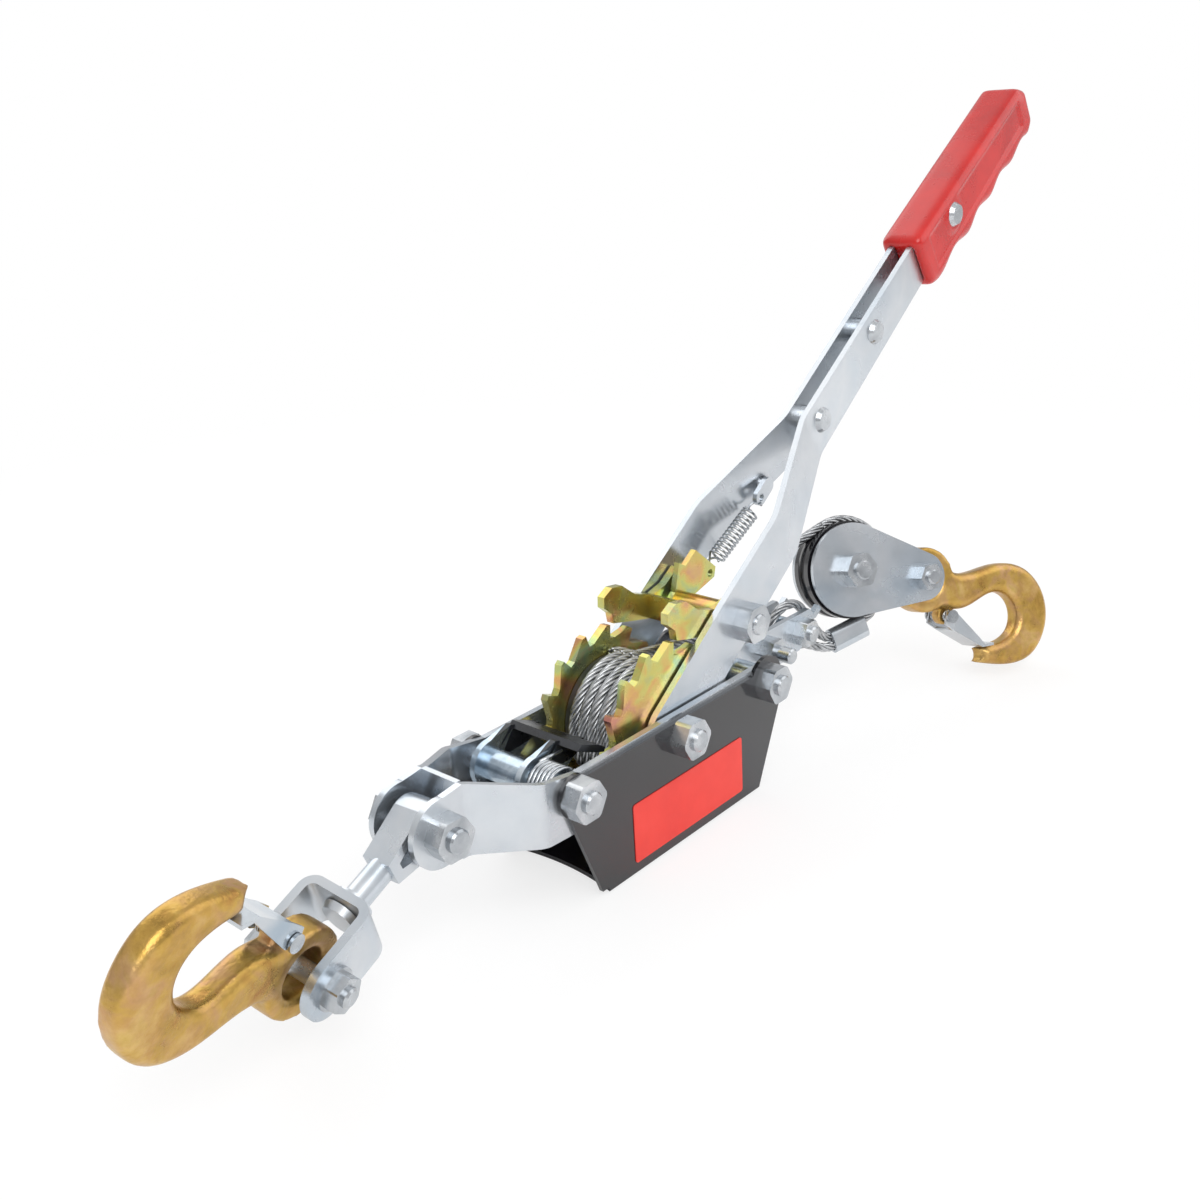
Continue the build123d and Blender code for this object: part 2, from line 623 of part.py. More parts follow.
with BuildPart() as grip:
    with BuildSketch(handle_plane(GRIP_THICKNESS / 2)):
        with BuildLine():
            Spline(
                (GRIP_START, -15.0), (316, -19.0), (333, -16.8), (348, -21.0), (362, -17.6),
                (378, -21.2), (393, -18.2), (407, -21.6), (419, -19.6), (432, -22.0),
            )
            Polyline((432, -22.0), (GRIP_END, -17.0), (GRIP_END, 3.0), (433, 9.5))
            Polyline((433, 9.5), (GRIP_START, 15.5), (GRIP_START, -15.0))
        make_face()
    extrude(amount=GRIP_THICKNESS)
    fillet(grip.edges().filter_by(Axis.Y), GRIP_CORNER)
    rims = grip.faces().sort_by(Axis.Y)[0].edges() + grip.faces().sort_by(Axis.Y)[-1].edges()
    fillet(rims, GRIP_ROUND)
    with BuildSketch(handle_plane(GRIP_THICKNESS)):
        with Locations((GRIP_RIVET_PLACE, 1.0)):
            Circle(RIVET_RADIUS)
    extrude(amount=2 * GRIP_THICKNESS, mode=Mode.SUBTRACT)
    for side in (-1, 1):
        with BuildSketch(handle_plan.offset(-40)):
            with BuildLine():
                Line((GRIP_START - 30, side * ARM_HIGH_Y), (ARM_LENGTH, side * ARM_HIGH_Y))
            trace(line_width=ARM_THICKNESS)
        slab = extrude(amount=80, mode=Mode.PRIVATE)
        with BuildSketch(handle_plane(40)):
            with BuildLine():
                Polyline(
                    (GRIP_START - 20, 12.0), (ARM_LENGTH - 60, 10.5), (ARM_LENGTH, 7),
                    (ARM_LENGTH, -9), (ARM_LENGTH - 100, -ARM_WIDTH / 2 + 1.5),
                    (GRIP_START - 20, -12.5),
                    close=True,
                )
            make_face()
        block_cut = extrude(amount=80, mode=Mode.PRIVATE)
        add(slab & block_cut, mode=Mode.SUBTRACT)
save(grip, "grip")

# ---------------------------------------------------------------- drive pawl and its bolt
with BuildPart() as pawl_bolt:
    add(bolt(across(0, PAWL_PIVOT), M10, -arm_outer_y, arm_outer_y + NUT_HEIGHT[M10] + 1.2))
save(pawl_bolt, "pawl_bolt")
with BuildPart() as pawl_nut:
    add(nut(across(0, PAWL_PIVOT), M10, arm_outer_y))
save(pawl_nut, "pawl_nut")

with BuildPart() as drive_pawl:
    for side in (-1, 1):
        with BuildSketch(turned(across(side * WHEEL_MIDDLE_Y), -PAWL_LIFT, PAWL_PIVOT)):
            with BuildLine():
                Polyline(
                    (-45.3, 2.2), (-46.4, 7.0), (-51.6, 11.0), (-51.6, 16.0), (-46.0, 19.4),
                    (-39.0, 18.8), (-30.0, 12.5), (-16.0, 8.8), (-7.0, 11.5), (-2.0, 15.0),
                    (2.0, 18.0), (7.0, 16.0), (9.0, 6.0), (6.0, -8.0), (-4.0, -9.2),
                    (-18.0, -2.6), (-38.0, 0.8),
                    close=True,
                )
            make_face()
            Circle(PAWL_EAR_RADIUS)
            Circle(M10 / 2 + RUNNING_FIT, mode=Mode.SUBTRACT)
        extrude(amount=WHEEL_THICKNESS / 2, both=True)
    pawl_inner_y = WHEEL_MIDDLE_Y - WHEEL_THICKNESS / 2
    with BuildSketch(across(pawl_inner_y, PAWL_PIVOT)):
        Circle(PAWL_TUBE_RADIUS)
        Circle(M10 / 2 + RUNNING_FIT, mode=Mode.SUBTRACT)
    extrude(amount=2 * pawl_inner_y)
    with BuildSketch(turned(across(pawl_inner_y), -PAWL_LIFT, PAWL_PIVOT)):
        with BuildLine():
            Polyline((-20, -2.0), (-16.5, -2.4), (-16.0, 8.8), (-19.5, 9.4), close=True)
        make_face()
    extrude(amount=2 * pawl_inner_y)
    ear_plane = turned(across(PAWL_EAR_Y), -PAWL_LIFT, PAWL_PIVOT)
    with BuildSketch(ear_plane):
        with BuildLine():
            Polyline(
                (-6.0, 7.5), (-3.0, 22.0), (2.0, 19.5), (10.0, 25.5), (26.0, 13.5), (25.0, 8.5),
                (8.0, 3.0), (0, 0),
                close=True,
            )
        make_face()
        Circle(PAWL_EAR_RADIUS)
        Circle(PAWL_TUBE_RADIUS - 1, mode=Mode.SUBTRACT)
        with Locations((21.5, 11.2)):
            Circle(SPRING_WIRE / 2 + 1.2, mode=Mode.SUBTRACT)
    extrude(amount=1.5, both=True)
save(drive_pawl, "drive_pawl")

# ---------------------------------------------------------------- extension spring and its tab
tab_share = (TAB_PLACE[0] + 8 - ARM_BEND_LOW) / (ARM_BEND_HIGH - ARM_BEND_LOW)
tab_arm_y = ARM_LOW_Y + (ARM_HIGH_Y - ARM_LOW_Y) * tab_share
with BuildPart() as spring_tab:
    with BuildSketch(handle_plane(TAB_Y + 1.25)):
        with Locations((TAB_PLACE[0] + 4, TAB_PLACE[1])):
            SlotOverall(16.4, 8.4)
        with Locations(TAB_PLACE):
            Circle(SPRING_WIRE / 2 + 1.2, mode=Mode.SUBTRACT)
    extrude(amount=2.5)
    with BuildSketch(handle_plane(tab_arm_y + 4)):
        with Locations((TAB_PLACE[0] + 8, TAB_PLACE[1])):
            Circle(3.2)
    extrude(amount=tab_arm_y + 4 - TAB_Y)
    with BuildSketch(handle_plan.offset(-40)):
        with BuildLine():
            FilletPolyline(
                (-30, ARM_LOW_Y), (ARM_BEND_LOW, ARM_LOW_Y), (ARM_BEND_HIGH, ARM_HIGH_Y),
                (ARM_LENGTH, ARM_HIGH_Y),
                radius=ARM_BEND_RADIUS,
            )
        trace(line_width=ARM_THICKNESS)
    extrude(amount=80, mode=Mode.SUBTRACT)
    beyond_arm = spring_tab.solids().sort_by(Axis.Y)[1:]
    for piece in beyond_arm:
        add(piece, mode=Mode.SUBTRACT)
save(spring_tab, "spring_tab")

spring_far_end = at(handle_plane(TAB_Y), *TAB_PLACE)
spring_near_end = at(turned(across(PAWL_EAR_Y), -PAWL_LIFT, PAWL_PIVOT), 21.5, 11.2)


def coil_spring(first, last, radius, wire, hook_length):
    """Close wound spring as a row of rings, with a straight wire tail at each end."""
    run = (last - first).normalized()
    length = (last - first).length
    body = length - 2 * hook_length
    rings = round(body / (wire * 1.35))
    pitch = body / rings
    with BuildPart() as made:
        for number in range(rings + 1):
            centre = first + run * (hook_length + number * pitch)
            plane = Plane(origin=centre, z_dir=run)
            with BuildSketch(Plane(origin=centre + plane.x_dir * radius, x_dir=plane.x_dir,
                                   z_dir=plane.y_dir)):
                Circle(wire * 0.5)
            revolve(axis=Axis(centre, run), revolution_arc=360)
        spine = Plane(origin=first + run * hook_length, z_dir=run)
        with BuildSketch(Plane(origin=at(spine, radius, 0, -wire / 2), z_dir=run)):
            Circle(wire * 0.42)
        extrude(amount=body + wire)
        for end, way in ((first, run), (last, run * -1)):
            foot = end + way * hook_length
            loop_axis = way.cross(Vector(0, 1, 0)).normalized()
            loop_centre = end + way * SPRING_LOOP
            loop_edge = loop_centre + way * SPRING_LOOP
            with BuildSketch(Plane(origin=loop_edge, x_dir=way, z_dir=loop_axis.cross(way))):
                Circle(wire / 2)
            revolve(axis=Axis(loop_centre, loop_axis), revolution_arc=360)
            with BuildSketch(Plane(origin=loop_edge, z_dir=way)):
                Circle(wire / 2)
            extrude(amount=hook_length - 2 * SPRING_LOOP)
            offset = at(spine, radius, 0) - spine.origin
            with BuildSketch(Plane(origin=foot, z_dir=offset.normalized())):
                Circle(wire / 2)
            extrude(amount=radius)
    return made.part


with BuildPart() as pawl_spring:
    add(coil_spring(spring_near_end, spring_far_end, SPRING_RADIUS, SPRING_WIRE, 8.4))
save(pawl_spring, "pawl_spring")

# ---------------------------------------------------------------- hold pawl on the front bolt
hold_far_y = HOLD_FAR_Y
with BuildPart() as hold_pawl:
    for ear_y in (HOLD_NEAR_Y, hold_far_y):
        with BuildSketch(across(ear_y, FRONT_BOLT)):
            with BuildLine():
                Polyline(
                    (-4, 10.2), (12, 13.5), (25, 9.6), (29.0, 8.0), (28.6, 4.8), (22, 2.0),
                    (8, -7.6), (0, 0),
                    close=True,
                )
            make_face()
            Circle(HOLD_EAR_RADIUS)
            Circle(M10 / 2 + RUNNING_FIT, mode=Mode.SUBTRACT)
        extrude(amount=HOLD_EAR_THICKNESS / 2, both=True)
    with BuildSketch(across(WHEEL_MIDDLE_Y + WHEEL_THICKNESS / 2, FRONT_BOLT)):
        with BuildLine():
            Polyline(
                (16, 13.6), (13, 11.6), (24.5, 6.4), (29.0, 4.8), (30.0, 6.6), (25.5, 9.6),
                close=True,
            )
        make_face()
    extrude(amount=2 * WHEEL_MIDDLE_Y + WHEEL_THICKNESS)
save(hold_pawl, "hold_pawl")

with BuildPart() as hold_tube:
    near_face = HOLD_NEAR_Y + HOLD_EAR_THICKNESS / 2
    far_face = hold_far_y - HOLD_EAR_THICKNESS / 2
    with BuildSketch(across(far_face, FRONT_BOLT)):
        Circle(HOLD_TUBE_RADIUS)
        Circle(M10 / 2 + RUNNING_FIT, mode=Mode.SUBTRACT)
    extrude(amount=far_face - near_face)
save(hold_tube, "hold_tube")

with BuildPart() as hold_collar:
    collar_top = -side_plate_inner_y
    collar_from = HOLD_NEAR_Y - HOLD_EAR_THICKNESS / 2 - SEAT_GAP
    with BuildSketch(across(collar_from, FRONT_BOLT)):
        Circle(HOLD_TUBE_RADIUS)
        Circle(M10 / 2, mode=Mode.SUBTRACT)
    extrude(amount=collar_from - collar_top)
save(hold_collar, "hold_collar")

with BuildPart() as hold_spring:
    turns = 5
    spring_pitch = (collar_from - collar_top - 3.0) / turns
    for turn in range(turns + 1):
        centre = (FRONT_BOLT[0], collar_from - 1.5 - turn * spring_pitch, FRONT_BOLT[1] + AXLE_HEIGHT)
        with BuildSketch(Plane(origin=(centre[0] + TORSION_RADIUS, centre[1], centre[2]),
                               x_dir=(1, 0, 0), z_dir=(0, 0, 1))):
            Circle(SPRING_WIRE / 2)
        revolve(axis=Axis(centre, (0, -1, 0)), revolution_arc=360)
    with BuildSketch(across(collar_from - 1.5, FRONT_BOLT)):
        with Locations((0, -TORSION_RADIUS)):
            Circle(SPRING_WIRE * 0.45)
    extrude(amount=turns * spring_pitch)
    with BuildSketch(Plane(origin=(FRONT_BOLT[0], collar_from - 1.5,
                                   FRONT_BOLT[1] + AXLE_HEIGHT + TORSION_RADIUS), z_dir=(1, 0, -0.04))):
        Circle(SPRING_WIRE / 2)
    extrude(amount=14)
save(hold_spring, "hold_spring")

# ---------------------------------------------------------------- swivel eye and clevis
droop = radians(FRONT_DROOP)
turn = radians(-FRONT_TURN)
front_a = Vector(-cos(droop) * cos(turn), sin(turn) * cos(droop), -sin(droop))
front_level = Vector(-sin(turn), -cos(turn), 0)
front_up = front_a.cross(front_level)
front_b = front_level * cos(radians(FRONT_ROLL)) - front_up * sin(radians(FRONT_ROLL))
strap_origin = Vector(STRAP_BOLT[0], 0, STRAP_BOLT[1] + AXLE_HEIGHT)
# eye plane: local x down the chain, local y up, normal along the strap bolt
eye_plane = Plane(origin=strap_origin, x_dir=front_a, z_dir=front_level * -1)
eye_outer = EYE_INNER_RADIUS + EYE_STRIP
with BuildPart() as swivel_eye:
    with BuildSketch(eye_plane.offset(-EYE_WIDTH / 2)):
        Circle(eye_outer)
        with BuildLine():
            Polyline((1.5, eye_outer), (24, 5.2), (24, -5.2), (1.5, -eye_outer), close=True)
        make_face()
        Circle(EYE_INNER_RADIUS, mode=Mode.SUBTRACT)
        with BuildLine():
            Polyline((1.2, EYE_INNER_RADIUS), (19.5, 1.6), (19.5, -1.6), (1.2, -EYE_INNER_RADIUS),
                     close=True)
        make_face(mode=Mode.SUBTRACT)
    extrude(amount=EYE_WIDTH)
    shank_plane = Plane(origin=strap_origin, x_dir=front_level, z_dir=front_a)
    with BuildSketch(shank_plane.offset(22)):
        Circle(SHANK_RADIUS)
    extrude(amount=SWIVEL_LENGTH + CLEVIS_PLATE + SEAT_GAP - 22)
    with BuildSketch(shank_plane.offset(SWIVEL_LENGTH - 2.5 - SEAT_GAP)):
        Circle(SHANK_RADIUS + 2.5)
    extrude(amount=2.5)
    with BuildSketch(shank_plane.offset(SWIVEL_LENGTH + CLEVIS_PLATE + SEAT_GAP)):
        Circle(SHANK_RADIUS + 3)
    extrude(amount=3.0, taper=22)
save(swivel_eye, "swivel_eye")

# clevis plane: local x down the chain, local y towards the nut
clevis_up = front_a.cross(front_b)
clevis_plan = Plane(origin=strap_origin, x_dir=front_a, z_dir=clevis_up)
clevis_side = Plane(origin=strap_origin, x_dir=front_a, z_dir=front_b)
clevis_bolt_place = SWIVEL_LENGTH + CLEVIS_LENGTH
leg_middle = CLEVIS_HALF_WIDTH - CLEVIS_PLATE / 2
with BuildPart() as clevis:
    with BuildSketch(clevis_plan.offset(-20)):
        with BuildLine():
            FilletPolyline(
                (clevis_bolt_place + 20, -leg_middle),
                (SWIVEL_LENGTH + CLEVIS_PLATE / 2, -leg_middle),
                (SWIVEL_LENGTH + CLEVIS_PLATE / 2, leg_middle),
                (clevis_bolt_place + 20, leg_middle),
                radius=CLEVIS_BEND,
            )
        trace(line_width=CLEVIS_PLATE)
    extrude(amount=40)
    with BuildSketch(clevis_side.offset(-30)):
        with Locations((clevis_bolt_place, 0)):
            Circle(CLEVIS_PLATE_WIDTH / 2)
        with Locations(((SWIVEL_LENGTH + clevis_bolt_place) / 2, 0)):
            Rectangle(CLEVIS_LENGTH, CLEVIS_PLATE_WIDTH)
    extrude(amount=60, mode=Mode.INTERSECT)
    with BuildSketch(clevis_side.offset(-30)):
        with Locations((clevis_bolt_place, 0)):
            Circle(M8 / 2)
    extrude(amount=60, mode=Mode.SUBTRACT)
    with BuildSketch(shank_plane.offset(SWIVEL_LENGTH - 5)):
        Circle(SHANK_RADIUS + RUNNING_FIT)
    extrude(amount=20, mode=Mode.SUBTRACT)
save(clevis, "clevis")

clevis_bolt_plane = Plane(origin=at(clevis_side, clevis_bolt_place, 0), x_dir=front_a, z_dir=front_b)
with BuildPart() as clevis_bolt:
    add(bolt(clevis_bolt_plane, M8, -CLEVIS_HALF_WIDTH, CLEVIS_HALF_WIDTH + NUT_HEIGHT[M8] + 2))
save(clevis_bolt, "clevis_bolt")
with BuildPart() as clevis_nut:
    add(nut(clevis_bolt_plane, M8, CLEVIS_HALF_WIDTH, flange=8.5))
save(clevis_nut, "clevis_nut")

# ---------------------------------------------------------------- hooks and latches
seat_offset = HOOK_EYE_HOLE - M8 / 2 - SEAT_GAP


def hook_outline():
    """Closed outline of the forged hook: eye at the origin, load line along local x."""
    outer = Spline(
        (14.0, -11.3), (22.0, -12.8), (31.0, -18.4), (41.0, -26.0), (58.0, -32.0), (76.0, -26.5),
        (87.0, -12.0), (88.6, -2.0), (85.0, 12.0), (73.0, 22.0), (60.0, 26.8), (51.0, 29.4),
    )
    inner = Spline(
        (48.6, 22.0), (54.0, 18.2), (62.0, 12.2), (67.5, 3.5), (66.3, -5.2), (58.0, -12.3),
        (47.0, -11.5), (38.0, -3.0), (30.0, 5.0), (22.0, 8.6), (14.0, 11.3),
    )
    point = RadiusArc(outer @ 1, inner @ 0, HOOK_POINT_RADIUS)
    Line(inner @ 1, outer @ 0)
    return outer, point, inner


def hook_solid(plane):
    """Forged hook lying on both sides of a plane, with a round eye and a latch lug."""
    with BuildPart() as made:
        with BuildSketch(plane):
            with BuildLine():
                hook_outline()
            make_face()
        extrude(amount=HOOK_THICKNESS / 2, both=True)
        sides = made.faces().sort_by(Axis(plane.origin, plane.z_dir))
        root = at(plane, 14.0, 0)
        rims = [
            edge for edge in sides[0].edges() + sides[-1].edges()
            if abs((edge.center() - root).dot(plane.x_dir)) > 0.5
        ]
        chamfer(rims, HOOK_BEVEL)
        with BuildSketch(plane):
            Circle(HOOK_EYE_RADIUS)
        extrude(amount=HOOK_THICKNESS / 2 - 0.5, both=True)
        with BuildSketch(plane):
            with Locations(LATCH_PIN):
                Circle(LATCH_LUG_RADIUS)
        extrude(amount=LATCH_LUG_HALF, both=True)
        with BuildSketch(plane):
            Circle(HOOK_EYE_HOLE)
            with Locations(LATCH_PIN):
                Circle(LATCH_PIN_RADIUS)
        extrude(amount=HOOK_THICKNESS, both=True, mode=Mode.SUBTRACT)
        hole = made.edges().filter_by(GeomType.CIRCLE).filter_by(
            lambda edge: abs(edge.radius - HOOK_EYE_HOLE) < 0.01)
        chamfer(hole, HOOK_EYE_BEVEL)
    return made.part


ear_middle = HOOK_THICKNESS / 2 + SEAT_GAP + LATCH_SHEET / 2
ear_outer = ear_middle + LATCH_SHEET / 2


def latch_solid(plane):
    """Sheet metal channel from the latch pin to the hook's point, with an ear at each side."""
    with BuildPart() as made:
        for side in (-1, 1):
            with BuildSketch(plane.offset(side * ear_middle)):
                with BuildLine():
                    Polyline(
                        (17.6, 10.5), (19.2, 18.5), (26, 19.5), (47.5, 21.0), (50, 19.6),
                        (44, 17.0), (30, 12.0), (24.4, 10.0),
                        close=True,
                    )
                make_face()
                with Locations(LATCH_PIN):
                    Circle(LATCH_PIN_RADIUS + RUNNING_FIT, mode=Mode.SUBTRACT)
            extrude(amount=LATCH_SHEET / 2, both=True)
        with BuildSketch(plane.offset(-ear_outer)):
            with BuildLine():
                Polyline(
                    (26, 19.5), (47.5, 21.0), (54.3, 17.2), (53.6, 15.9), (47.2, 19.5), (26, 18.0),
                    close=True,
                )
            make_face()
        extrude(amount=2 * ear_outer)
    return made.part


def pin_solid(plane):
    """Latch pin with a small head at each end."""
    with BuildPart() as made:
        head_at = ear_outer + SEAT_GAP
        with BuildSketch(plane.offset(-head_at)):
            with Locations(LATCH_PIN):
                Circle(LATCH_PIN_RADIUS)
        extrude(amount=2 * head_at)
        for seat, lift in ((-head_at, -1.2), (head_at, 1.2)):
            with BuildSketch(plane.offset(seat)):
                with Locations(LATCH_PIN):
                    Circle(LATCH_PIN_RADIUS + 1.6)
            extrude(amount=lift)
    return made.part


def latch_coils(plane):
    """Latch spring: one coil round the pin on each side of the lug."""
    with BuildPart() as made:
        for start, way in ((LATCH_LUG_HALF + 0.3, 1), (-LATCH_LUG_HALF - 0.3, -1)):
            with BuildSketch(plane.offset(start)):
                with Locations(LATCH_PIN):
                    Circle(LATCH_PIN_RADIUS + 1.5)
                    Circle(LATCH_PIN_RADIUS + 0.2, mode=Mode.SUBTRACT)
            extrude(amount=way * (HOOK_THICKNESS / 2 - LATCH_LUG_HALF - 0.3))
    return made.part


def hook_plane(bolt_centre, load_line, normal):
    """Plane of a hook whose eye hangs on a bolt."""
    return Plane(origin=bolt_centre + load_line * seat_offset, x_dir=load_line, z_dir=normal)


front_line = front_a * cos(radians(FRONT_HOOK_ANGLE)) + clevis_up * sin(radians(FRONT_HOOK_ANGLE))
front_hook_plane = hook_plane(clevis_bolt_plane.origin, front_line, front_b * -1)
rear_bolt_centre = at(block, *HOOK_BOLT_PLACE)
rear_line = block.x_dir * cos(radians(REAR_HOOK_ANGLE)) + block.y_dir * sin(radians(REAR_HOOK_ANGLE))
rear_hook_plane = hook_plane(rear_bolt_centre, rear_line, block.z_dir * -1)
for tag, plane in (("front", front_hook_plane), ("rear", rear_hook_plane)):
    with BuildPart() as hook:
        add(hook_solid(plane))
    save(hook, f"{tag}_hook")
    with BuildPart() as hook_latch:
        add(latch_solid(plane))
    save(hook_latch, f"{tag}_latch")
    with BuildPart() as hook_pin:
        add(pin_solid(plane))
    save(hook_pin, f"{tag}_latch_pin")
    with BuildPart() as hook_coils:
        add(latch_coils(plane))
    save(hook_coils, f"{tag}_latch_spring")

# ---------------------------------------------------------------- pulley block
for tag, side in (("near", 1), ("far", -1)):
    with BuildPart() as cheek:
        with BuildSketch(block.offset(side * CHEEK_MIDDLE)):
            with BuildSketch(block.offset(side * CHEEK_MIDDLE), mode=Mode.PRIVATE) as discs:
                Circle(CHEEK_BIG_RADIUS)
                with Locations(HOOK_BOLT_PLACE):
                    Circle(CHEEK_SMALL_RADIUS)
            make_hull(discs.edges())
            Circle(M10 / 2, mode=Mode.SUBTRACT)
            with Locations(HOOK_BOLT_PLACE):
                Circle(M8 / 2, mode=Mode.SUBTRACT)
        extrude(amount=CHEEK_PLATE / 2, both=True)
    save(cheek, f"cheek_{tag}")

cheek_outer = CHEEK_MIDDLE + CHEEK_PLATE / 2
with BuildPart() as sheave:
    section = Plane(origin=block.origin, x_dir=block.x_dir, z_dir=block.y_dir * -1)
    with BuildSketch(section):
        with Locations((SHEAVE_RADIUS / 2 + 2.5 + RUNNING_FIT / 2, 0)):
            Rectangle(SHEAVE_RADIUS - M10 / 2 - RUNNING_FIT, SHEAVE_WIDTH)
        with Locations((SHEAVE_ROPE_RADIUS, 0)):
            Circle(rope_radius + 0.4, mode=Mode.SUBTRACT)
    revolve(axis=Axis(block.origin, block.z_dir), revolution_arc=360)
save(sheave, "sheave")

with BuildPart() as sheave_bolt:
    add(bolt(block, M10, -cheek_outer, cheek_outer + NUT_HEIGHT[M10] + THREAD_STUB))
save(sheave_bolt, "sheave_bolt")
with BuildPart() as sheave_nut:
    add(nut(block, M10, cheek_outer))
save(sheave_nut, "sheave_nut")
rear_bolt_plane = Plane(origin=rear_bolt_centre, x_dir=block.x_dir, z_dir=block.z_dir)
with BuildPart() as hook_bolt:
    add(bolt(rear_bolt_plane, M8, -cheek_outer, cheek_outer + NUT_HEIGHT[M8] + THREAD_STUB))
save(hook_bolt, "hook_bolt")
with BuildPart() as hook_nut:
    add(nut(rear_bolt_plane, M8, cheek_outer))
save(hook_nut, "hook_nut")
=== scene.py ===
"""Come along winch: the finishes, wound rope, springs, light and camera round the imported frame."""

import json
import logging
import math
from dataclasses import dataclass, field
from enum import Enum
from typing import Callable, Sequence

import bpy
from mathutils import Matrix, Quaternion, Vector

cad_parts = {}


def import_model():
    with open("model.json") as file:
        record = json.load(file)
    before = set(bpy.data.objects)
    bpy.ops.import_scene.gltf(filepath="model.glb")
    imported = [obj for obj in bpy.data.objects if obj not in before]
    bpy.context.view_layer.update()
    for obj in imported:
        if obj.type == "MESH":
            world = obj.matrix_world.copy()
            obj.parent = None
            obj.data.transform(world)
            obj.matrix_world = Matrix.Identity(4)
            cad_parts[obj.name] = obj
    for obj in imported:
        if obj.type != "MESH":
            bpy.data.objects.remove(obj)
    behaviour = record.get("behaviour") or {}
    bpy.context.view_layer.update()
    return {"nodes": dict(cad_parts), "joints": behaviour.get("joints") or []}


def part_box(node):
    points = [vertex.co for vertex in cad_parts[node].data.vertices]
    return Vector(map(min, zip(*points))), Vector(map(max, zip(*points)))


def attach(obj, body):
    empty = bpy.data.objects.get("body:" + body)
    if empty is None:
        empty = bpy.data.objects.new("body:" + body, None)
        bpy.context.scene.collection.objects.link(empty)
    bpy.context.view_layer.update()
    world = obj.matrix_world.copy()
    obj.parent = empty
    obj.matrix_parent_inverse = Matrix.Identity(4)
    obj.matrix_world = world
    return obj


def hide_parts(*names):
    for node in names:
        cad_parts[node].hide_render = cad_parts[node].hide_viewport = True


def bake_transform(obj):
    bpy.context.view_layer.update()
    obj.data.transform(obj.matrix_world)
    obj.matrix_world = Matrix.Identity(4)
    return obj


LOG = logging.getLogger("come_along_winch")
MM = 0.001

# rope, in millimetres
ROPE_DIAMETER = 5.0
ROPE_STRANDS = 6
ROPE_LAY = 28.0
ROPE_POINT_STEP = 1.3
STRAND_SHARE = 0.335
SEAT_GAP = 0.35

# rope on the drum, in millimetres and degrees
AXLE_HEIGHT = 52.0
ROPE_LAYER = 27.8
ROPE_TURNS = 6
ROPE_PITCH = 5.4
LAYS_PER_TURN = 7
DRUM_TURN_STEPS = 90
LEAVING_ANGLE = 80.5
LEAVING_Y = 2.7
LAYERS_BELOW_RADIUS = 26.2
LAYERS_BELOW_HALF = 16.1

# rope over the sheave, through the ferrule and round the anchor, in millimetres and degrees
WRAP_RADIUS = 26.8
WRAP_START = -25
WRAP_END = 110
WRAP_STEP = 3
FERRULE_MOUTH = (-14.0, -36.2)
FERRULE_TURN = 12.0
FERRULE_LENGTH = 22.0
FALL_OFFSET = 2.7
LOWER_REACH = 8.5
UPPER_REACH = 20.0
UPPER_BENDS = ((58.0, 3.6, 18.5), (110.0, 8.0, 24.0))
UPPER_RADII = (60.0, 60.0, 40.0)
ANCHOR_X = 123.0
ANCHOR_RISE = 1.5
BUSH_RADIUS = 5.2
EYE_TURN = 16.0
EYE_RADIUS = 12.5
EYE_START = 75.0
EYE_SWEEP = 210.0
EYE_STEPS = 40
EYE_REACH = 9.0

# hooks, grip and hold pawl, in millimetres and degrees
SHARP_ANGLE = 32.0
HOOK_SKIN = 0.9
HOOK_ROUNDS = 22
TAPER_FROM = 20.0
TAPER_LENGTH = 70.0
TAPER_SHARE = 0.12
GRIP_SKIN = 1.1
GRIP_ROUNDS = 9
HANDLE_ANGLE = 35.3
PANEL_START = 309.0
PANEL_END = 428.0
PANEL_DEPTH = 0.8
PANEL_FROM_Y = 9.0
PANEL_BOTTOM = -12.5
PANEL_TOP = 10.5
PANEL_TOP_FALL = 6.0
PANEL_SLOPE = 2.2
GRIP_RIVET_REACH = 337.5
GRIP_RIVET_HEIGHT = 1.0
GRIP_RIVET_CLEAR = 8.5
PAWL_EAR_REACH = 13.0

# springs, in millimetres; the end loops of the extension spring sweep END_LOOP_SWEEP half turns
LATCH_COIL_OUT = 4.4
LATCH_COIL_RADIUS = 2.85
LATCH_COIL_LENGTH = 2.0
LATCH_COIL_TURNS = 2.25
LATCH_WIRE = 0.42
EXTENSION_IN_X = 1.7
EXTENSION_IN_Z = 3.2
EXTENSION_LOW_Y = 13.0
EXTENSION_HIGH_Y = 9.0
EXTENSION_SHANK = 7.0
EXTENSION_RADIUS = 4.0
EXTENSION_PITCH = 2.4
EXTENSION_WIRE = 0.6
END_LOOP_RADIUS = 3.2
END_LOOP_SWEEP = 1.35
END_LOOP_STEPS = 14
TORSION_RADIUS = 9.6
TORSION_WIRE = 0.8
TORSION_TURNS = 6.5
TORSION_LEG = (13.4, 9.2)

# the camera's place in the row frame, and its lens
CAMERA_PLACE = (-0.3934, -0.3488, 0.3097)
CAMERA_AZIMUTH = -47.30
CAMERA_ELEVATION = 20.78
CAMERA_ROLL = -3.57
CAMERA_LENS = 38.31
SENSOR = 36.0


# ------------------------------------------------------------------ colours and finishes
class Slot(Enum):
    """Names of the record's material slots for the pieces made here."""

    YELLOW_ZINC = "yellow_zinc"
    RED_VINYL = "red_vinyl"
    STEEL_ROPE = "steel_rope"
    SPRING_STEEL = "spring_steel"


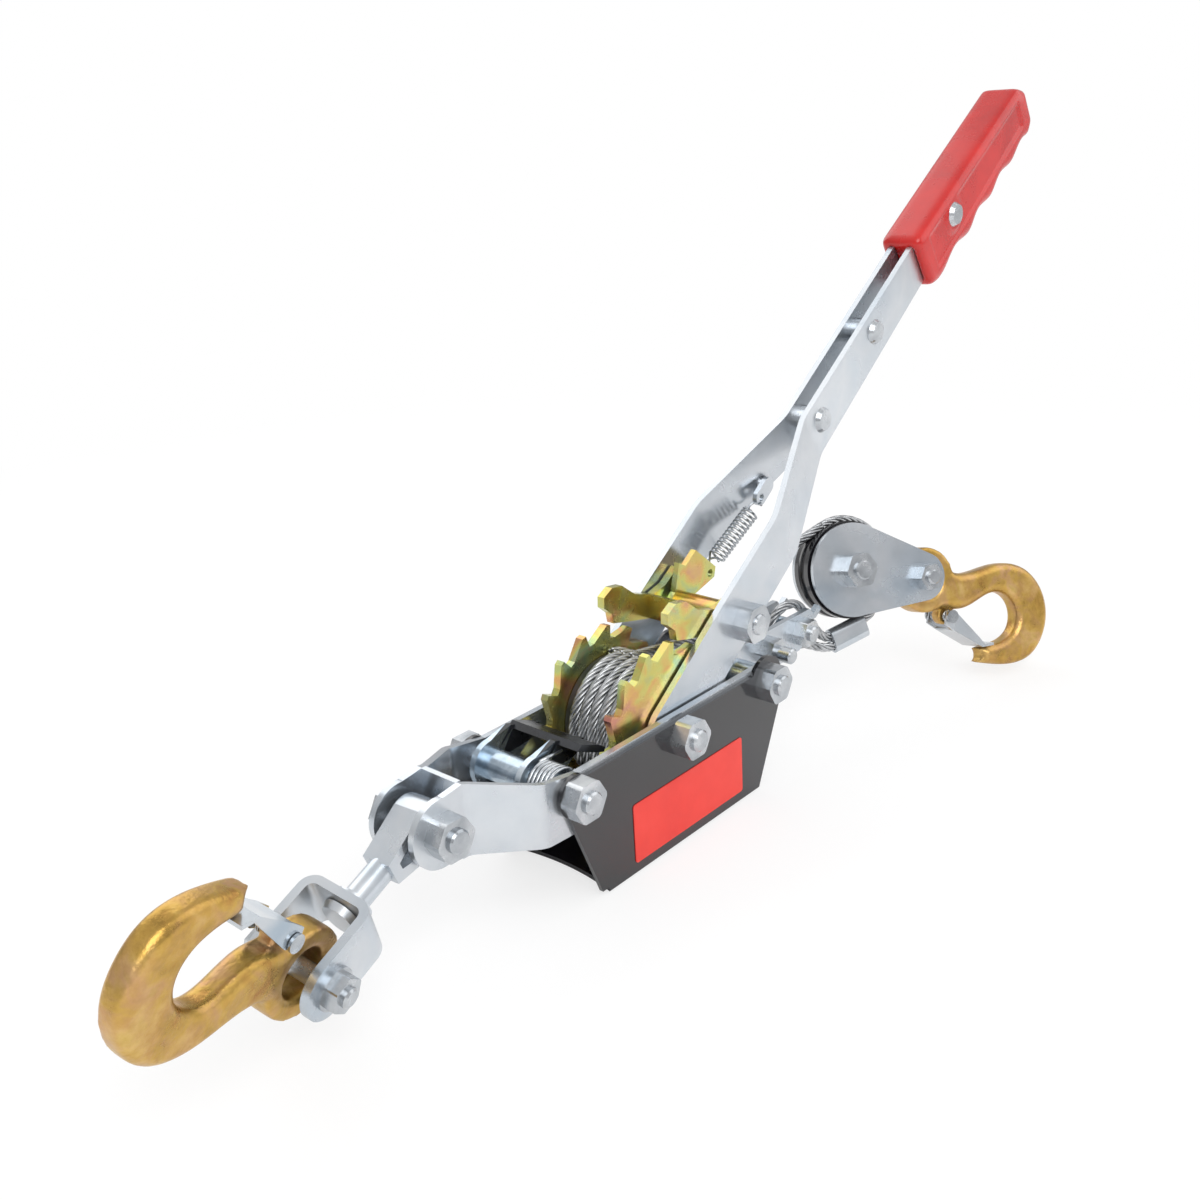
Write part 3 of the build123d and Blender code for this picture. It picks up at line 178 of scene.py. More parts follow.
def linear(hex_colour: str) -> tuple[float, float, float, float]:
    """Turn an sRGB hex colour into linear RGBA.

    Args:
        hex_colour: Six hex digits, with or without a leading #.

    Returns:
        The colour in the renderer's linear space, with alpha 1.
    """
    digits = hex_colour.lstrip("#")
    channels = [int(digits[i:i + 2], 16) / 255 for i in (0, 2, 4)]
    converted = [c / 12.92 if c <= 0.04045 else ((c + 0.055) / 1.055) ** 2.4 for c in channels]
    return (*converted, 1.0)


def add_node(tree: bpy.types.NodeTree, kind: str, inputs: dict | None = None,
             **settings) -> bpy.types.Node:
    """Add a node, set its properties, and link or fill its inputs.

    Args:
        tree: The node tree to add to.
        kind: Blender's node type name.
        inputs: Socket name or index to a value or to an output socket.
        **settings: Properties set on the node.

    Returns:
        The new node.
    """
    node = tree.nodes.new(kind)
    for name, value in settings.items():
        setattr(node, name, value)
    for name, value in (inputs or {}).items():
        socket = node.inputs[name]
        if isinstance(value, bpy.types.NodeSocket):
            tree.links.new(value, socket)
        else:
            socket.default_value = value
    return node


@dataclass(frozen=True)
class Finish:
    """A plain metal, paint or plastic with cloudy tone, fine grain and small relief.

    Args:
        name: Name of the material.
        tones: Hex colours from the darkest cloud to the lightest.
        metallic: 1 for bare or plated metal, 0 for paint and plastic.
        roughness: Lowest and highest roughness across the surface.
        cloud_mm: Size of the slow change in tone.
        grain_mm: Size of the fine relief.
        relief_mm: Height of the fine relief.
        coat: Strength of a clear coat.
        tint_tones: Hex colours of the patches that lie over the base tone.
        tint_mm: Size of those patches.
        tint_share: How strongly they show.
    """

    name: str
    tones: tuple[str, ...]
    metallic: float
    roughness: tuple[float, float]
    cloud_mm: float
    grain_mm: float
    relief_mm: float
    coat: float = 0.0
    tint_tones: tuple[str, ...] = ()
    tint_mm: float = 12.0
    tint_share: float = 0.5

    def build(self) -> bpy.types.Material:
        """Make the material.

        Returns:
            The finished node material.
        """
        material = bpy.data.materials.new(self.name)
        material.use_nodes = True
        tree = material.node_tree
        tree.nodes.clear()
        place = add_node(tree, "ShaderNodeTexCoord")
        clouds = add_node(tree, "ShaderNodeTexNoise", {
            "Vector": place.outputs["Object"], "Scale": 1 / (self.cloud_mm * MM), "Detail": 5.0,
            "Roughness": 0.6})
        colour = self._ramp(tree, clouds.outputs["Fac"], self.tones, 0.3, 0.72).outputs["Color"]
        if self.tint_tones:
            patches = add_node(tree, "ShaderNodeTexNoise", {
                "Vector": place.outputs["Object"], "Scale": 1 / (self.tint_mm * MM), "Detail": 3.0,
                "Distortion": 0.6})
            tint = self._ramp(tree, patches.outputs["Fac"], self.tint_tones, 0.28, 0.74)
            spread = add_node(tree, "ShaderNodeTexNoise", {
                "Vector": place.outputs["Object"], "Scale": 0.6 / (self.tint_mm * MM), "Detail": 2.0})
            share = add_node(tree, "ShaderNodeMapRange", {
                "Value": spread.outputs["Fac"], "From Min": 0.38, "From Max": 0.62,
                "To Min": self.tint_share * 0.35, "To Max": self.tint_share})
            mixed = add_node(tree, "ShaderNodeMix", data_type="RGBA")
            tree.links.new(share.outputs["Result"], mixed.inputs[0])
            tree.links.new(colour, mixed.inputs[6])
            tree.links.new(tint.outputs["Color"], mixed.inputs[7])
            colour = mixed.outputs[2]
        grain = add_node(tree, "ShaderNodeTexNoise", {
            "Vector": place.outputs["Object"], "Scale": 1 / (self.grain_mm * MM), "Detail": 4.0})
        rough = add_node(tree, "ShaderNodeMapRange", {
            "Value": clouds.outputs["Fac"], "From Min": 0.3, "From Max": 0.7,
            "To Min": self.roughness[0], "To Max": self.roughness[1]})
        bump = add_node(tree, "ShaderNodeBump", {
            "Height": grain.outputs["Fac"], "Strength": 0.6, "Distance": self.relief_mm * MM})
        shader = add_node(tree, "ShaderNodeBsdfPrincipled", {
            "Base Color": colour, "Metallic": self.metallic, "Roughness": rough.outputs["Result"],
            "Normal": bump.outputs["Normal"], "Coat Weight": self.coat, "Coat Roughness": 0.08})
        add_node(tree, "ShaderNodeOutputMaterial", {"Surface": shader.outputs["BSDF"]})
        return material

    @staticmethod
    def _ramp(tree: bpy.types.NodeTree, factor: bpy.types.NodeSocket, tones: Sequence[str], low: float,
              high: float) -> bpy.types.Node:
        """Colour ramp with the tones spread evenly between two factor values.

        Args:
            tree: The node tree to add to.
            factor: The output that drives the ramp.
            tones: Hex colours, from the lowest factor to the highest.
            low: Factor of the first tone.
            high: Factor of the last tone.

        Returns:
            The ramp node.
        """
        ramp = add_node(tree, "ShaderNodeValToRGB", {"Fac": factor})
        stops = ramp.color_ramp.elements
        while len(stops) < len(tones):
            stops.new(0.5)
        for index, tone in enumerate(tones):
            stops[index].position = low + (high - low) * index / max(1, len(tones) - 1)
            stops[index].color = linear(tone)
        return ramp


BRIGHT_ZINC = Finish("bright_zinc_plate", ("#b0b6bc", "#c6cacf", "#dadde0"), 0.88, (0.2, 0.34), 60, 1.6, 0.015,
                     tint_tones=("#97adbf", "#d3d7db", "#bccad4"), tint_mm=50, tint_share=0.6)
NUT_ZINC = Finish("bright_zinc_fasteners", ("#9ea3a8", "#b9bdc1", "#d3d6d9"), 0.9, (0.18, 0.32), 14, 0.8, 0.012)
SHANK_ZINC = Finish("blue_zinc_bars", ("#93a3b1", "#b3c1cd", "#d3dce3"), 0.92, (0.16, 0.3), 12, 0.7, 0.01)
YELLOW_ZINC = Finish("yellow_zinc_plate", ("#b08f45", "#c9b065", "#dccb8a"), 0.88, (0.18, 0.32), 20, 1.0, 0.03,
                     tint_tones=("#c5737f", "#d9a76a", "#c2cc74", "#93bb98", "#d49a83"), tint_mm=15,
                     tint_share=0.8)
FORGED_GOLD = Finish("forged_yellow_zinc", ("#8d6c31", "#bb9448", "#dcbd74"), 0.88, (0.24, 0.4), 13, 1.5, 0.3,
                     tint_tones=("#b27b4a", "#cdaa5c", "#c79a7d", "#a68b45"), tint_mm=13, tint_share=0.6)
BLACK_PAINT = Finish("black_gloss_enamel", ("#0e0d10", "#161519", "#1f1e22"), 0.0, (0.14, 0.24), 40, 2.5, 0.02,
                     coat=0.5)
PAWL_BLACK = Finish("black_oxide_plate", ("#121316", "#1d1f23", "#2a2c31"), 0.3, (0.22, 0.36), 10, 0.8, 0.02)
RED_PRINT = Finish("red_label_print", ("#dc2f26", "#e4372c", "#ea4035"), 0.0, (0.36, 0.46), 30, 1.0, 0.01)
RED_VINYL = Finish("red_dipped_vinyl", ("#ad0c08", "#bd110c", "#ca1a13"), 0.0, (0.22, 0.34), 26, 1.2, 0.03,
                   coat=0.25)
ROPE_WIRE = Finish("galvanised_wire", ("#8b8d90", "#b0b2b4", "#cfd0d2"), 0.88, (0.24, 0.38), 5, 0.5, 0.04)
# painted shade: the dark grey of the rope core stands for the shade in the gaps between the strands and between
# the turns on the drum
ROPE_CORE_SHADE = Finish("rope_core_shade", ("#2a2b2c", "#3a3b3d", "#4b4c4e"), 0.4, (0.4, 0.6), 6, 0.8, 0.03)
SPRING_WIRE = Finish("plated_spring_wire", ("#9ba0a5", "#bcc0c4", "#d6d9dc"), 0.9, (0.18, 0.3), 8, 0.5, 0.01)


@dataclass
class Paintbox:
    """Each finish, made once and kept by name."""

    made: dict[str, bpy.types.Material] = field(default_factory=dict)

    def get(self, finish: Finish) -> bpy.types.Material:
        """Return the finish's material, making it at first use."""
        if finish.name not in self.made:
            self.made[finish.name] = finish.build()
        return self.made[finish.name]


# ------------------------------------------------------------------ mesh tools
def mesh_object(name: str, vertices: Sequence[Vector], faces: Sequence[Sequence[int]],
                material: bpy.types.Material) -> bpy.types.Object:
    """Make a smooth mesh object at the origin.

    Args:
        name: Object name.
        vertices: Places in metres, in the row frame.
        faces: Vertex numbers of each face.
        material: The finish.

    Returns:
        The linked object.
    """
    mesh = bpy.data.meshes.new(name)
    mesh.from_pydata([tuple(v) for v in vertices], [], [tuple(f) for f in faces])
    mesh.validate()
    mesh.materials.append(material)
    mesh.polygons.foreach_set("use_smooth", [True] * len(mesh.polygons))
    made = bpy.data.objects.new(name, mesh)
    bpy.context.scene.collection.objects.link(made)
    return made


def even_path(points: Sequence[Vector], step: float) -> list[Vector]:
    """Points at an even spacing along a dense polyline.

    Args:
        points: The polyline, in metres.
        step: Wanted spacing in metres, rounded so that the ends are met.

    Returns:
        The points, with both ends.
    """
    lengths = [0.0]
    for first, second in zip(points, points[1:]):
        lengths.append(lengths[-1] + (second - first).length)
    count = max(2, round(lengths[-1] / step))
    result, index = [], 0
    for number in range(count + 1):
        want = lengths[-1] * number / count
        while index < len(lengths) - 2 and lengths[index + 1] < want:
            index += 1
        span = max(lengths[index + 1] - lengths[index], 1e-9)
        result.append(points[index].lerp(points[index + 1], (want - lengths[index]) / span))
    return result


def travelling_frames(path: Sequence[Vector]) -> list[tuple[Vector, Vector, Vector]]:
    """Tangent and two untwisted normals at each point of a path.

    Args:
        path: The path's points.

    Returns:
        Tangent, normal and side for each point.
    """
    frames = []
    normal = None
    for index, point in enumerate(path):
        ahead = path[min(index + 1, len(path) - 1)]
        behind = path[max(index - 1, 0)]
        tangent = (ahead - behind).normalized()
        if normal is None:
            helper = Vector((0, 1, 0)) if abs(tangent.y) < 0.8 else Vector((0, 0, 1))
            normal = tangent.cross(helper).normalized()
        normal = (normal - tangent * normal.dot(tangent)).normalized()
        frames.append((tangent, normal, tangent.cross(normal)))
    return frames


def tube(path: Sequence[Vector], radius: float, sides: int, vertices: list[Vector],
         faces: list[tuple[int, ...]]) -> None:
    """Add a closed round tube along a path to a vertex and a face list.

    Args:
        path: Centre line in metres.
        radius: Radius in metres.
        sides: Number of flats round the tube.
        vertices: Vertex list to add to.
        faces: Face list to add to.
    """
    base = len(vertices)
    for point, (_, normal, side) in zip(path, travelling_frames(path)):
        for step in range(sides):
            angle = 2 * math.pi * step / sides
            vertices.append(point + (normal * math.cos(angle) + side * math.sin(angle)) * radius)
    for ring in range(len(path) - 1):
        for step in range(sides):
            first = base + ring * sides + step
            second = base + ring * sides + (step + 1) % sides
            faces.append((first, second, second + sides, first + sides))
    faces.append(tuple(base + step for step in reversed(range(sides))))
    last = base + (len(path) - 1) * sides
    faces.append(tuple(last + step for step in range(sides)))


def stranded_rope(name: str, route: Sequence[Vector], material: bpy.types.Material,
                  core: bpy.types.Material, lay: float = ROPE_LAY) -> bpy.types.Object:
    """Wire rope: strands twisted round a core along a route.

    Args:
        name: Object name.
        route: Dense centre line in metres.
        material: The wire's finish.
        core: The dark finish of the core that shows between the strands, painted shade in the gaps between
            them.
        lay: Length of one full turn of a strand, in millimetres.

    Returns:
        One mesh object with every strand.
    """
    radius = ROPE_DIAMETER / 2 * MM
    strand = ROPE_DIAMETER * STRAND_SHARE / 2 * MM
    path = even_path(route, ROPE_POINT_STEP * MM)
    frames = travelling_frames(path)
    step = (path[1] - path[0]).length
    vertices: list[Vector] = []
    faces: list[tuple[int, ...]] = []
    # core tube in the dark core finish: painted shade where it shows between the strands
    tube(path, radius - strand * 1.25, 8, vertices, faces)
    core_faces = len(faces)
    for number in range(ROPE_STRANDS):
        line = []
        for index, (point, (_, normal, side)) in enumerate(zip(path, frames)):
            angle = 2 * math.pi * (number / ROPE_STRANDS + index * step / (lay * MM))
            line.append(point + (normal * math.cos(angle) + side * math.sin(angle)) * (radius - strand))
        tube(line, strand, 7, vertices, faces)
    made = mesh_object(name, vertices, faces, material)
    made.data.materials.append(core)
    for polygon in made.data.polygons[:core_faces]:
        polygon.material_index = 1
    return made


def repeat_along_y(made: bpy.types.Object, count: int, pitch: float) -> None:
    """Repeat a mesh along Y with Geometry Nodes and keep the result as plain geometry.

    Args:
        made: The object, which holds one item and ends with them all.
        count: How many items.
        pitch: Distance from each item to the next, in metres.
    """
    tree = bpy.data.node_groups.new("rows_along_y", "GeometryNodeTree")
    tree.interface.new_socket("Item", in_out="INPUT", socket_type="NodeSocketGeometry")
    kinds = {"Count": "NodeSocketInt", "Pitch": "NodeSocketFloat", "Finish": "NodeSocketMaterial"}
    for label, kind in kinds.items():
        tree.interface.new_socket(label, in_out="INPUT", socket_type=kind)
    tree.interface.new_socket("Rows", in_out="OUTPUT", socket_type="NodeSocketGeometry")
    given = add_node(tree, "NodeGroupInput")
    step = add_node(tree, "ShaderNodeCombineXYZ", {"Y": given.outputs["Pitch"]})
    line = add_node(tree, "GeometryNodeMeshLine", {
        "Count": given.outputs["Count"], "Offset": step.outputs[0]})
    placed = add_node(tree, "GeometryNodeInstanceOnPoints", {
        "Points": line.outputs["Mesh"], "Instance": given.outputs["Item"]})
    real = add_node(tree, "GeometryNodeRealizeInstances", {0: placed.outputs["Instances"]})
    material_index = add_node(tree, "GeometryNodeInputMaterialIndex")
    outer = add_node(tree, "FunctionNodeCompare", {
        2: material_index.outputs[0], 3: 0}, data_type="INT", operation="EQUAL")
    painted = add_node(tree, "GeometryNodeSetMaterial", {
        "Geometry": real.outputs[0], "Selection": outer.outputs[0], "Material": given.outputs["Finish"]})
    add_node(tree, "NodeGroupOutput", {0: painted.outputs[0]})
    modifier = made.modifiers.new("rows", "NODES")
    modifier.node_group = tree
    sockets = {item.name: item.identifier for item in tree.interface.items_tree if item.in_out == "INPUT"}
    for label, value in (("Count", count), ("Pitch", pitch), ("Finish", made.data.materials[0])):
        modifier[sockets[label]] = value
    bpy.context.view_layer.update()
    rows = bpy.data.meshes.new_from_object(made.evaluated_get(bpy.context.evaluated_depsgraph_get()))
    made.modifiers.clear()
    made.data = rows


def curve_points(control: Sequence[Vector], count: int = 40) -> list[Vector]:
    """Points on one Bezier curve.

    Args:
        control: Its four control points.
        count: How many steps the curve is cut into.

    Returns:
        The points, with both ends.
    """
    points = []
    for index in range(count + 1):
        t = index / count
        points.append(control[0] * (1 - t) ** 3 + control[1] * 3 * t * (1 - t) ** 2
                      + control[2] * 3 * t * t * (1 - t) + control[3] * t ** 3)
    return points


def bent_run(points: Sequence[Vector], radii: Sequence[float]) -> list[Vector]:
    """Straight runs with a tangent arc at each corner.

    Args:
        points: The two ends, and the corners between them.
        radii: Bend radius at each corner, in metres.

    Returns:
        A dense list of points.
    """
    line = [points[0]]
    for corner, following, radius in zip(points[1:-1], points[2:], radii):
        back = (line[-1] - corner).normalized()
        ahead = (following - corner).normalized()
        half = back.angle(ahead) / 2
        reach = radius / math.tan(half)
        centre = corner + (back + ahead).normalized() * (radius / math.sin(half))
        first = corner + back * reach - centre
        turn = first.rotation_difference(corner + ahead * reach - centre)
        for index in range(13):
            line.append(centre + Quaternion().slerp(turn, index / 12) @ first)
    line.append(points[-1])
    return line


def coil(centre: Vector, run: Vector, radius: float, length: float, turns: float) -> list[Vector]:
    """Points of a helix about an axis.

    Args:
        centre: Where the axis starts.
        run: Unit direction of the axis.
        radius: Radius in metres.
        length: Length along the axis, in metres.
        turns: How many turns.

    Returns:
        The points, with both ends.
    """
    side = run.orthogonal().normalized()
    other = run.cross(side)
    count = int(turns * 22)
    points = []
    for index in range(count + 1):
        angle = 2 * math.pi * turns * index / count
        points.append(centre + run * (length * index / count)
                      + (side * math.cos(angle) + other * math.sin(angle)) * radius)
    return points


# ------------------------------------------------------------------ shared places
@dataclass(frozen=True)
class Places:
    """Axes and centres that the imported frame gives."""

    joints: dict[str, dict]

    def centre(self, joint: str) -> Vector:
        """Joint centre in metres."""
        return Vector(self.joints[joint]["pos_m"])

    def axis(self, joint: str) -> Vector:
        """Unit axis of a joint."""
        return Vector(self.joints[joint]["axis"]).normalized()

    def block(self) -> tuple[Vector, Vector, Vector]:
        """Sheave centre, and the block's own x and y."""
        normal = -self.axis("sheave_turn")
        level = Vector((normal.x, normal.y, 0)).normalized()
        along = Vector((-level.y, level.x, 0))
        return self.centre("sheave_turn"), along, normal.cross(along)


# ------------------------------------------------------------------ sub-assemblies
@dataclass
class PlainMetal:
    """Every frame node that is shown as it is, with its finish."""

    paints: Paintbox
    places: Places
    nodes: dict[str, bpy.types.Object]

    def finish_for(self, node: str) -> Finish:
        """Pick a node's finish from its name."""
        special: dict[str, Finish] = {
            "housing": BLACK_PAINT, "sheave": BLACK_PAINT, "hold_pawl": PAWL_BLACK,
            "label_panel": RED_PRINT, "grip": RED_VINYL, "drive_pawl": YELLOW_ZINC,
            "wheel_near": YELLOW_ZINC, "wheel_far": YELLOW_ZINC, "front_hook": FORGED_GOLD,
            "rear_hook": FORGED_GOLD, "drum_core": SHANK_ZINC, "hold_tube": SHANK_ZINC,
            "hold_collar": SHANK_ZINC, "rear_spacer": SHANK_ZINC, "anchor_bush": SHANK_ZINC}
        if node in special:
            return special[node]
        if "rope" in node:
            return ROPE_WIRE
        if "spring" in node and node != "spring_tab":
            return SPRING_WIRE
        if any(word in node for word in ("bolt", "nut", "rivet", "pin")):
            return NUT_ZINC
        return BRIGHT_ZINC

    def dress(self) -> None:
        """Give each node its material and smooth its round faces."""
        for name, node in self.nodes.items():
            node.data.materials.clear()
            node.data.materials.append(self.paints.get(self.finish_for(name)))
            node.data.shade_smooth()
            node.data.set_sharp_from_angle(angle=math.radians(SHARP_ANGLE))
        self._plate_ears()

    def _plate_ears(self) -> None:
        """Bright ears on the hold pawl, whose plate is black."""
        mesh = self.nodes["hold_pawl"].data
        mesh.materials.append(self.paints.get(SHANK_ZINC))
        bolt = self.places.centre("hold_pawl_swing")
        for polygon in mesh.polygons:
            from_bolt = polygon.center - bolt
            if math.hypot(from_bolt.x, from_bolt.z) < PAWL_EAR_REACH * MM:
                polygon.material_index = 1


@dataclass
class RoundedPieces:
    """Pieces with no sharp edge: the two forged hooks and the dipped vinyl grip."""

    paints: Paintbox
    places: Places
    nodes: dict[str, bpy.types.Object]

    def build(self) -> None:
        """Round each piece off from its frame node."""
        for end in ("front", "rear"):
            hook = self._rounded(f"{end}_hook", HOOK_SKIN, HOOK_ROUNDS)
            self._taper(hook, f"{end}_hook_swing")
            self._finish(hook, f"{end}_hook", FORGED_GOLD, f"{end}_hook")
        grip = self._rounded("grip", GRIP_SKIN, GRIP_ROUNDS)
        self._sink_panels(grip)
        self._finish(grip, "grip", RED_VINYL, "handle")

    def _finish(self, made: bpy.types.Object, node: str, finish: Finish, body: str) -> None:
        """Paint a piece and put it in its node's place."""
        made.data.materials.append(self.paints.get(finish))
        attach(made, body)
        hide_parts(node)

    def _rounded(self, node: str, fineness: float, rounds: int) -> bpy.types.Object:
        """Copy a node's mesh, rebuild it evenly and wear its edges down.

        Args:
            node: The frame node.
            fineness: Size of the new skin's cells, in millimetres.
            rounds: How many times the surface is relaxed.

        Returns:
            A linked object with plain geometry.
        """
        source = bpy.data.objects.new(f"{node}_source", self.nodes[node].data.copy())
        bpy.context.scene.collection.objects.link(source)
        source.data.materials.clear()
        remesh = source.modifiers.new("even_skin", "REMESH")
        remesh.mode = "VOXEL"
        remesh.voxel_size = fineness * 1.0 * MM
        relax = source.modifiers.new("worn_edges", "SMOOTH")
        relax.factor = 0.5
        relax.iterations = rounds
        bpy.context.view_layer.update()
        solid = source.evaluated_get(bpy.context.evaluated_depsgraph_get())
        mesh = bpy.data.meshes.new_from_object(solid)
        mesh.name = f"{node}_rounded"
        mesh.polygons.foreach_set("use_smooth", [True] * len(mesh.polygons))
        made = bpy.data.objects.new(f"{node}_rounded", mesh)
        bpy.context.scene.collection.objects.link(made)
        bpy.data.objects.remove(source)
        return made

    def _taper(self, made: bpy.types.Object, joint: str) -> None:
        """Thin the hook away from its eye, as the forging is drawn out there."""
        centre, across = self.places.centre(joint), self.places.axis(joint)
        for vertex in made.data.vertices:
            offset = vertex.co - centre
            height = offset.dot(across)
            flat = offset - across * height
            beyond = min(1.0, max(0.0, flat.length - TAPER_FROM * MM) / (TAPER_LENGTH * MM))
            vertex.co = centre + flat + across * (height * (1 - TAPER_SHARE * beyond))

    def _sink_panels(self, grip: bpy.types.Object) -> None:
        """Sink a shallow panel into both sides of the grip, clear of its edge and its rivet."""
        axle = Vector((0, 0, AXLE_HEIGHT * MM))
        turn = math.radians(HANDLE_ANGLE)
        along = Vector((math.cos(turn), 0, math.sin(turn)))
        aside = Vector((-math.sin(turn), 0, math.cos(turn)))
        for vertex in grip.data.vertices:
            offset = (vertex.co - axle) / MM
            reach, height = offset.dot(along), offset.dot(aside)
            if abs(offset.y) < PANEL_FROM_Y:
                continue
            top = PANEL_TOP - PANEL_TOP_FALL * (reach - PANEL_START) / (PANEL_END - PANEL_START)
            from_rivet = math.hypot(reach - GRIP_RIVET_REACH, height - GRIP_RIVET_HEIGHT)
            inside = min(reach - PANEL_START, PANEL_END - reach, height - PANEL_BOTTOM, top - height,
                         from_rivet - GRIP_RIVET_CLEAR)
            share = min(1.0, max(0.0, inside / PANEL_SLOPE))
            depth = PANEL_DEPTH * MM * share * share * (3 - 2 * share)
            vertex.co.y -= math.copysign(depth, offset.y)


@dataclass
class WoundRope:
    """The rope: on the drum, along its two falls, over the sheave and round the anchor."""

    paints: Paintbox
    places: Places

    def build(self) -> None:
        """Make every stretch of the rope."""
        wire = self.paints.get(ROPE_WIRE)
        self._drum_turns(wire)
        centre, along, up = self.places.block()

        def on_block(x: float, y: float) -> Vector:
            return centre + (along * x + up * y) * MM

        def ring(angle: float) -> Vector:
            turned = math.radians(angle)
            return on_block(WRAP_RADIUS * math.cos(turned), WRAP_RADIUS * math.sin(turned))

        def ring_way(angle: float) -> Vector:
            return up * math.cos(math.radians(angle)) - along * math.sin(math.radians(angle))

        wrap = [ring(angle) for angle in range(WRAP_START, WRAP_END + 1, WRAP_STEP)]
        self._piece("sheave_rope", wrap, wire, "block", "rope_wrap")
        turn = math.radians(FERRULE_TURN)
        entry = along * math.cos(turn) + up * math.sin(turn)
        aside = up * math.cos(turn) - along * math.sin(turn)
        mouth = on_block(*FERRULE_MOUTH)
        offset = aside * (FALL_OFFSET * MM)
        through = entry * FERRULE_LENGTH * MM
        live_start, live_end = mouth + offset, mouth + offset + through
        tail_start, tail_end = mouth - offset, mouth - offset + through
        lower = curve_points([
            live_end, live_end + entry * LOWER_REACH * MM,
            ring(WRAP_START) - ring_way(WRAP_START) * LOWER_REACH * MM, ring(WRAP_START)])
        lower_rope = self._free("lower_fall_rope", lower, wire, "rope_lower")
        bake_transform(lower_rope)
        loop = self._eye_loop(entry, live_start, tail_start)
        self._piece("anchor_eye_rope", [live_end, *loop, tail_end], wire, "frame", "rope_eye")
        leaving = math.radians(LEAVING_ANGLE)
        radius = ROPE_LAYER + SEAT_GAP
        start = Vector((
            radius * math.cos(leaving), LEAVING_Y, radius * math.sin(leaving) + AXLE_HEIGHT)) * MM
        bends = [start, *(Vector((x, y, z + AXLE_HEIGHT)) * MM for x, y, z in UPPER_BENDS),
                 ring(WRAP_END) + ring_way(WRAP_END) * UPPER_REACH * MM, ring(WRAP_END)]
        upper = bent_run(bends, [bend * MM for bend in UPPER_RADII])
        upper_rope = self._free("upper_fall_rope", upper, wire, "rope_upper")
        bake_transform(upper_rope)

    def _eye_loop(self, entry: Vector, live_start: Vector, tail_start: Vector) -> list[Vector]:
        """Centre line of the eye, from the ferrule round the bush and back.

        Args:
            entry: Unit direction of the rope through the ferrule.
            live_start: Where the working part leaves the ferrule.
            tail_start: Where the short end leaves the ferrule.

        Returns:
            A dense list of points.
        """
        turn = math.radians(EYE_TURN)
        away = Vector((math.cos(turn), -math.sin(turn), 0))
        up = Vector((0, 0, 1))
        reach = EYE_RADIUS - ROPE_DIAMETER / 2 - BUSH_RADIUS - SEAT_GAP
        middle = Vector((ANCHOR_X, 0, AXLE_HEIGHT + ANCHOR_RISE)) * MM + away * reach * MM
        points = []
        for index in range(EYE_STEPS + 1):
            angle = math.radians(EYE_START + EYE_SWEEP * index / EYE_STEPS)
            points.append(middle + (away * math.cos(angle) + up * math.sin(angle)) * EYE_RADIUS * MM)
        lean = math.radians(EYE_START)
        top_way = away * math.sin(lean) - up * math.cos(lean)
        bottom_way = away * math.sin(lean) + up * math.cos(lean)
        first = curve_points([
            live_start, live_start - entry * EYE_REACH * MM,
            points[0] + top_way * EYE_REACH * MM, points[0]])
        last = curve_points([
            points[-1], points[-1] + bottom_way * EYE_REACH * MM,
            tail_start - entry * EYE_REACH * MM, tail_start])
        return [*first, *points[1:-1], *last]

    def _drum_turns(self, wire: bpy.types.Material) -> None:
        """Twisted turns laid side by side on the drum, over a plain dark tube that stands for the layers below
        and is painted shade in the gaps between the turns.

        The helix starts where the first packed turn lies and ends at the last one, so it makes one
        turn fewer than ROPE_TURNS.
        """
        leaving = math.radians(LEAVING_ANGLE)
        first_y = -ROPE_PITCH * (ROPE_TURNS - 1) / 2
        route = []
        for index in range(DRUM_TURN_STEPS + 1):
            angle = leaving + 2 * math.pi * index / DRUM_TURN_STEPS
            y = first_y + ROPE_PITCH * index / DRUM_TURN_STEPS
            route.append(Vector((
                ROPE_LAYER * math.cos(angle), y, ROPE_LAYER * math.sin(angle) + AXLE_HEIGHT)) * MM)
        lay = 2 * math.pi * ROPE_LAYER / LAYS_PER_TURN
        turn = stranded_rope("drum_rope_turns", route, wire, self.paints.get(ROPE_CORE_SHADE), lay)
        repeat_along_y(turn, ROPE_TURNS - 1, ROPE_PITCH * MM)
        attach(turn, "drum")
        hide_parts("rope_pack")
        # dark tube under the turns: painted shade in the gaps between them
        vertices: list[Vector] = []
        faces: list[tuple[int, ...]] = []
        half = LAYERS_BELOW_HALF * MM
        line = [Vector((0, -half, AXLE_HEIGHT * MM)), Vector((0, half, AXLE_HEIGHT * MM))]
        tube(line, LAYERS_BELOW_RADIUS * MM, 72, vertices, faces)
        below = mesh_object("drum_rope_layers_below_shade", vertices, faces, self.paints.get(ROPE_CORE_SHADE))
        below.data.set_sharp_from_angle(angle=math.radians(SHARP_ANGLE))
        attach(below, "drum")

    def _free(self, name: str, route: Sequence[Vector], wire: bpy.types.Material,
              node: str) -> bpy.types.Object:
        """A stretch of rope with no parent, standing for a node."""
        made = stranded_rope(name, route, wire, self.paints.get(ROPE_CORE_SHADE))
        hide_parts(node)
        return made

    def _piece(self, name: str, route: Sequence[Vector], wire: bpy.types.Material, body: str,
               node: str) -> None:
        """A stretch of rope that rides on one body."""
        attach(self._free(name, route, wire, node), body)


